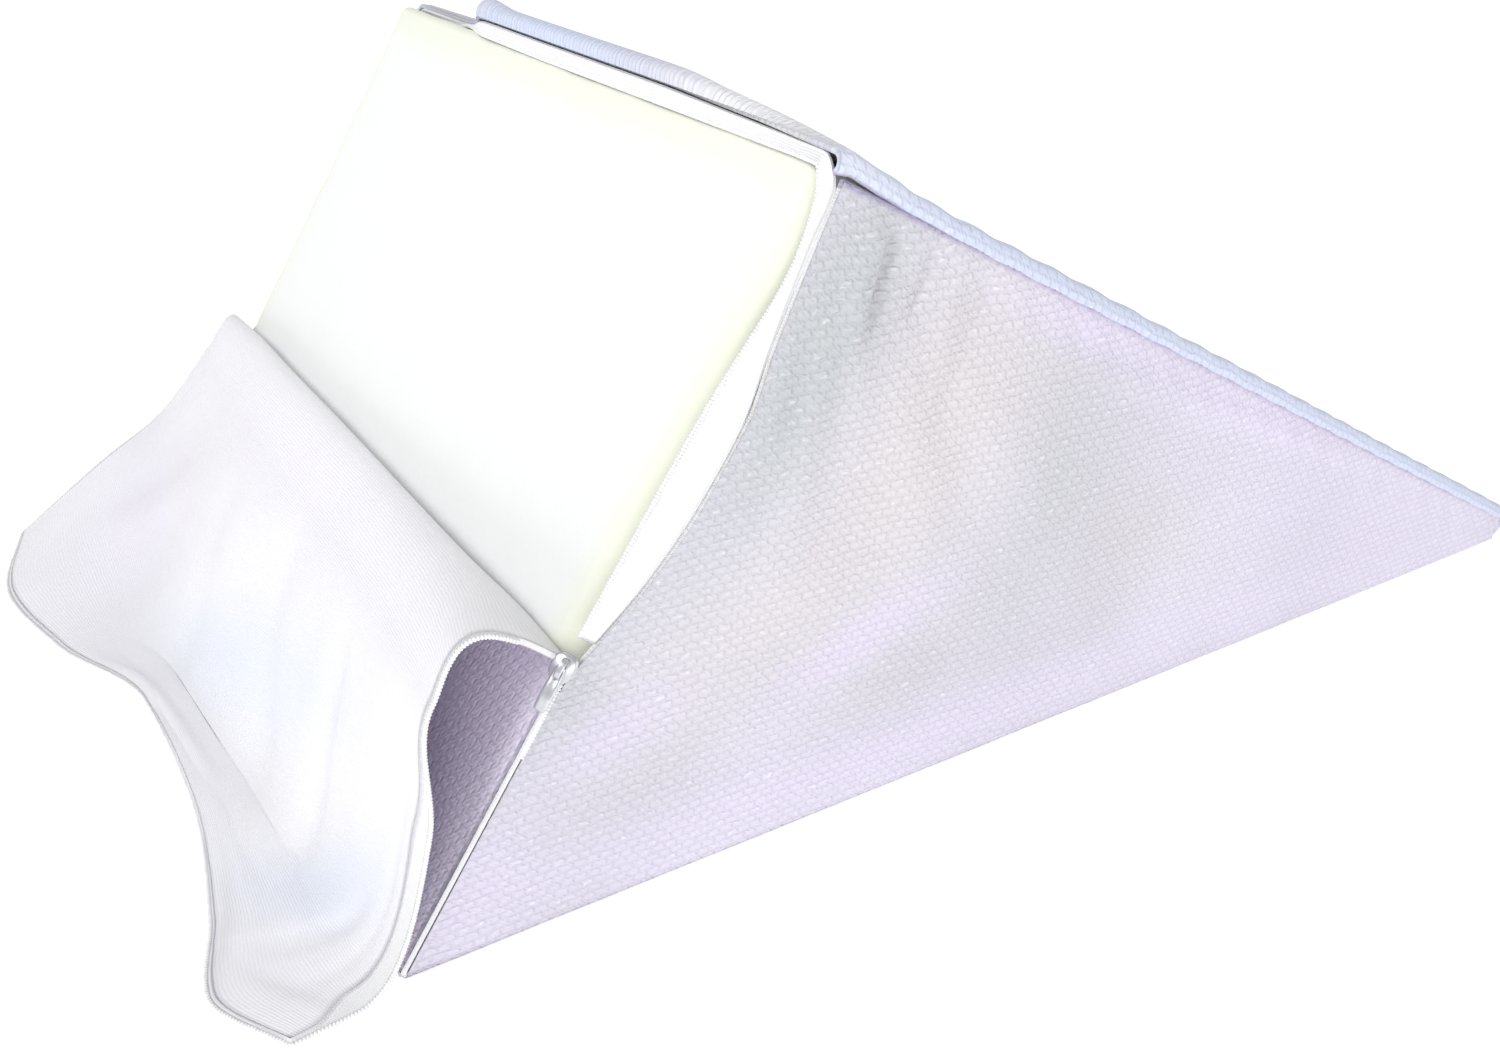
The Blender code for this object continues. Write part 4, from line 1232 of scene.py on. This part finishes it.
class ZIP_OT_tapes(bpy.types.Operator):
    """Make both halves of the zip: woven tapes with their teeth"""

    bl_idname = "pillow.zip_tapes"
    bl_label = "Zip Tapes and Teeth"

    def execute(self, context):
        tape = zip_tape()
        teeth = plain_finish("zip_teeth", tuple(colours().tape), 0.5)
        edge, toothed, run = cover_tape_lines(520)
        shares = np.linspace(0, 1, 9)[None, :, None]
        grid = edge[:, None] * (1 - shares) + toothed[:, None] * shares
        width = np.linalg.norm(toothed - edge, axis=1)
        cloth = np.stack(np.broadcast_arrays(run[:, None], width[:, None] * shares[0, :, 0]), -1)
        made = link("cover_tape", cloth_mesh("cover_tape", grid, cloth, TAPE, [tape]), "zip_tape_cover")
        lean = toothed - edge
        row = beads("cover_teeth", toothed, TOOTH, sizes().tooth_pitch, teeth, lean)
        row = link("cover_teeth", row)
        area = float(np.linalg.norm(lean, axis=1).mean() * run[-1])
        reach = 130
        lines = [flap_tape_lines(reach, inset) for inset in np.linspace(TAPE_WIDTH, 0, 9)]
        grid = np.stack([flap_points(line[:, 0], line[:, 1]) for line in lines], 1)
        steps = np.linalg.norm(np.diff(grid[:, 4], axis=0), axis=1)
        run = np.concatenate([[0], np.cumsum(steps)])
        cloth = np.stack(np.broadcast_arrays(run[:, None], np.linspace(0, TAPE_WIDTH, 9)[None, :]), -1)
        grid = grid - COVER_OT_opened.inner_side(self, grid) * 0.0009
        grid[..., 2] = np.maximum(grid[..., 2], TAPE / 2 + GAP / 2)
        made = link("opened_tape", cloth_mesh("opened_tape", grid, cloth, TAPE, [tape]), "zip_tape_flap")
        row = beads("opened_teeth", grid[:, -1], TOOTH, sizes().tooth_pitch, teeth, grid[:, -1] - grid[:, -2])
        row = link("opened_teeth", row)
        return {"FINISHED"}


class ZIP_OT_slider(bpy.types.Operator):
    """Make the slider with its bridge and pull tab, and the short closed zip below it"""

    bl_idname = "pillow.zip_slider"
    bl_label = "Zip Slider"

    def execute(self, context):
        metal = plain_finish("slider_metal", tuple(colours().metal), 0.32, metallic=0.85, grain=900.0)
        body = rounded_box(0.0078, 0.0100, 3.0)
        body[:, 0] *= 1 - 0.18 * smooth(-0.001, -0.005, body[:, 1]) + 0.02
        upper, faces = plate(body, 0.0011, 0.0004, bend=-14.0)
        lower, _ = plate(body, 0.0010, 0.0004)
        post = plate(rounded_box(0.0016, 0.0040), 0.0026, 0.0002)
        turn = np.linspace(0.0, math.pi, 15)
        arch = np.stack([0 * turn, 0.0005 + 0.0022 * np.sin(turn) ** 0.7, 0.0034 * np.cos(turn) + 0.0002], 1)
        bridge, bridge_faces = bar(arch, 0.0022, 0.0008, np.array([1.0, 0.0, 0.0]))
        lift = np.array([0.0, 0.0013, 0.0])
        shapes = [(upper + lift, faces), (lower - lift, faces), post, (bridge + lift, bridge_faces)]
        points, sides = joined(shapes)
        self.metal("slider", points, sides, SLIDER_UP, SLIDER_LIFT, metal, "zip_slider")
        tab = rounded_box(0.0044, 0.0165, 6.0, 64)
        tab[:, 0] *= 1 - 0.14 * smooth(-0.002, 0.008, tab[:, 1])
        slot = rounded_box(0.0019, 0.0034, 3.0, 64) + np.array([0.0, 0.0052])
        points, sides = plate(tab, 0.0011, 0.00035, slot)
        self.metal("pull_tab", points, sides, SLIDER_UP - 0.0068, SLIDER_LIFT + 0.0030, metal, "zip_pull")
        self.closed_zip()
        return {"FINISHED"}

    def metal(self, name, points, faces, up, lift, finish, node):
        """A piece turned halfway between the opened face and the near side, standing off their corner."""
        rise = np.array([FACE_UP[0], 0, FACE_UP[1]])
        out = np.array([FACE_OUT[0], 0, FACE_OUT[1]]) + np.array([0, -1.0, 0])
        out /= np.linalg.norm(out)
        turned = np.stack([np.cross(out, rise), out, rise])
        spot = on_face(up, CLOTH + GAP, 0.0) + out * lift
        made = link(name, mesh_from(name, points @ turned + spot, faces, [finish]), node)

    def closed_zip(self):
        """The closed stretch of the zip, from the slider down to where it ends in the seam."""
        up = np.linspace(0.0885, SLIDER_UP - 0.0045, 60)
        path = on_face(up, 0.0012 + 0 * up, -0.0004)
        lean = np.broadcast_to(np.array([FACE_OUT[0], -0.9, FACE_OUT[1]]), path.shape)
        teeth = bpy.data.materials["zip_teeth"]
        row = beads("closed_teeth", path, (0.0013, 0.0014, 0.0026), sizes().tooth_pitch, teeth, lean)
        row = link("closed_teeth", row)


class STAGE_OT_studio(bpy.types.Operator):
    """Make the pale floor, the soft light and the camera"""

    bl_idname = "pillow.studio"
    bl_label = "Floor, Light and Camera"

    def execute(self, context):
        self.floor()
        self.light("key", (-1.9, -0.7, 1.9), 1.0, 24.0)
        self.light("fill", (1.0, -2.4, 0.8), 1.4, 5.0)
        self.light("low", (-0.9, -2.3, 0.35), 1.4, 12.0)
        world = bpy.data.worlds.new("studio")
        world.use_nodes = True
        world.node_tree.nodes["Background"].inputs[0].default_value = (1.0, 1.0, 1.0, 1.0)
        world.node_tree.nodes["Background"].inputs[1].default_value = 0.60
        context.scene.world = world
        context.scene.view_settings.view_transform = "Standard"
        self.camera(context)
        return {"FINISHED"}

    def floor(self):
        made = Finish("floor", 0.9)
        made.shader.inputs["Base Color"].default_value = (0.95, 0.95, 0.95, 1.0)
        made.shader.inputs["Emission Color"].default_value = (1.0, 1.0, 1.0, 1.0)
        made.shader.inputs["Emission Strength"].default_value = 0.47
        size = 60.0
        corners = [(-size, -size, 0), (size, -size, 0), (size, size, 0), (-size, size, 0)]
        mesh = bpy.data.meshes.new("floor")
        mesh.from_pydata(corners, [], [(0, 1, 2, 3)])
        mesh.materials.append(made.material)
        plane = bpy.data.objects.new("floor", mesh)
        bpy.context.scene.collection.objects.link(plane)

    def light(self, name, spot, size, power):
        data = bpy.data.lights.new(name, "AREA")
        data.shape = "DISK"
        data.size = size
        data.energy = power
        made = bpy.data.objects.new(name, data)
        made.location = spot
        made.rotation_euler = (Vector((0, 0, 0.1)) - Vector(spot)).to_track_quat("-Z", "Y").to_euler()
        bpy.context.scene.collection.objects.link(made)

    def camera(self, context):
        yaw, pitch, focal = -0.5288, 0.5037, 1300.0
        shift = np.array([-0.3824, -0.502, 1.4331]) * BACK_HEIGHT
        right = np.array([math.cos(yaw), math.sin(yaw), 0])
        level = np.array([-math.sin(yaw), math.cos(yaw), 0])
        ahead = level * math.cos(pitch) + np.array([0, 0, -math.sin(pitch)])
        up = level * math.sin(pitch) + np.array([0, 0, math.cos(pitch)])
        eye = -(shift[0] * right + shift[1] * up + shift[2] * ahead) + np.array([-BASE / 2, -WIDTH / 2, 0])
        data = bpy.data.cameras.new("photo_view")
        data.sensor_width = 36
        data.lens = focal * 36 / 1500
        data.clip_start = 0.01
        made = bpy.data.objects.new("photo_view", data)
        rows = [[*row, spot] for row, spot in zip(np.stack([right, up, -ahead], 1), eye)]
        made.matrix_world = Matrix([*rows, [0, 0, 0, 1]])
        context.scene.collection.objects.link(made)
        context.scene.camera = made


PIECES = (
    ("pillow.studio", STAGE_OT_studio),
    ("pillow.foam_wedge", FOAM_OT_wedge),
    ("pillow.base_panel", COVER_OT_base),
    ("pillow.top_panel", COVER_OT_top),
    ("pillow.side_panels", COVER_OT_sides),
    ("pillow.opened_panel", COVER_OT_opened),
    ("pillow.zip_tapes", ZIP_OT_tapes),
    ("pillow.zip_slider", ZIP_OT_slider),
)


class VIEW3D_PT_pillow(bpy.types.Panel):
    """Lists the pieces and their sizes and colours"""

    bl_idname = "VIEW3D_PT_pillow"
    bl_label = "Wedge Pillow"
    bl_space_type = "VIEW_3D"
    bl_region_type = "UI"
    bl_category = "Wedge Pillow"

    def draw(self, context):
        for name, _ in PIECES:
            self.layout.operator(name)
        for group in (context.scene.pillow_sizes, context.scene.pillow_colours):
            for name in group.bl_rna.properties.keys():
                if name not in ("rna_type", "name"):
                    self.layout.prop(group, name)


CLASSES = (PillowSizes, PillowColours, *(made for _, made in PIECES), VIEW3D_PT_pillow)


def register():
    for made in CLASSES:
        bpy.utils.register_class(made)
    bpy.types.Scene.pillow_sizes = PointerProperty(type=PillowSizes)
    bpy.types.Scene.pillow_colours = PointerProperty(type=PillowColours)


def unregister():
    del bpy.types.Scene.pillow_colours
    del bpy.types.Scene.pillow_sizes
    for made in reversed(CLASSES):
        bpy.utils.unregister_class(made)


def main():
    register()
    for name, _ in PIECES:
        group, call = name.split(".")
        getattr(getattr(bpy.ops, group), call)()


if __name__ == "__main__":
    main()
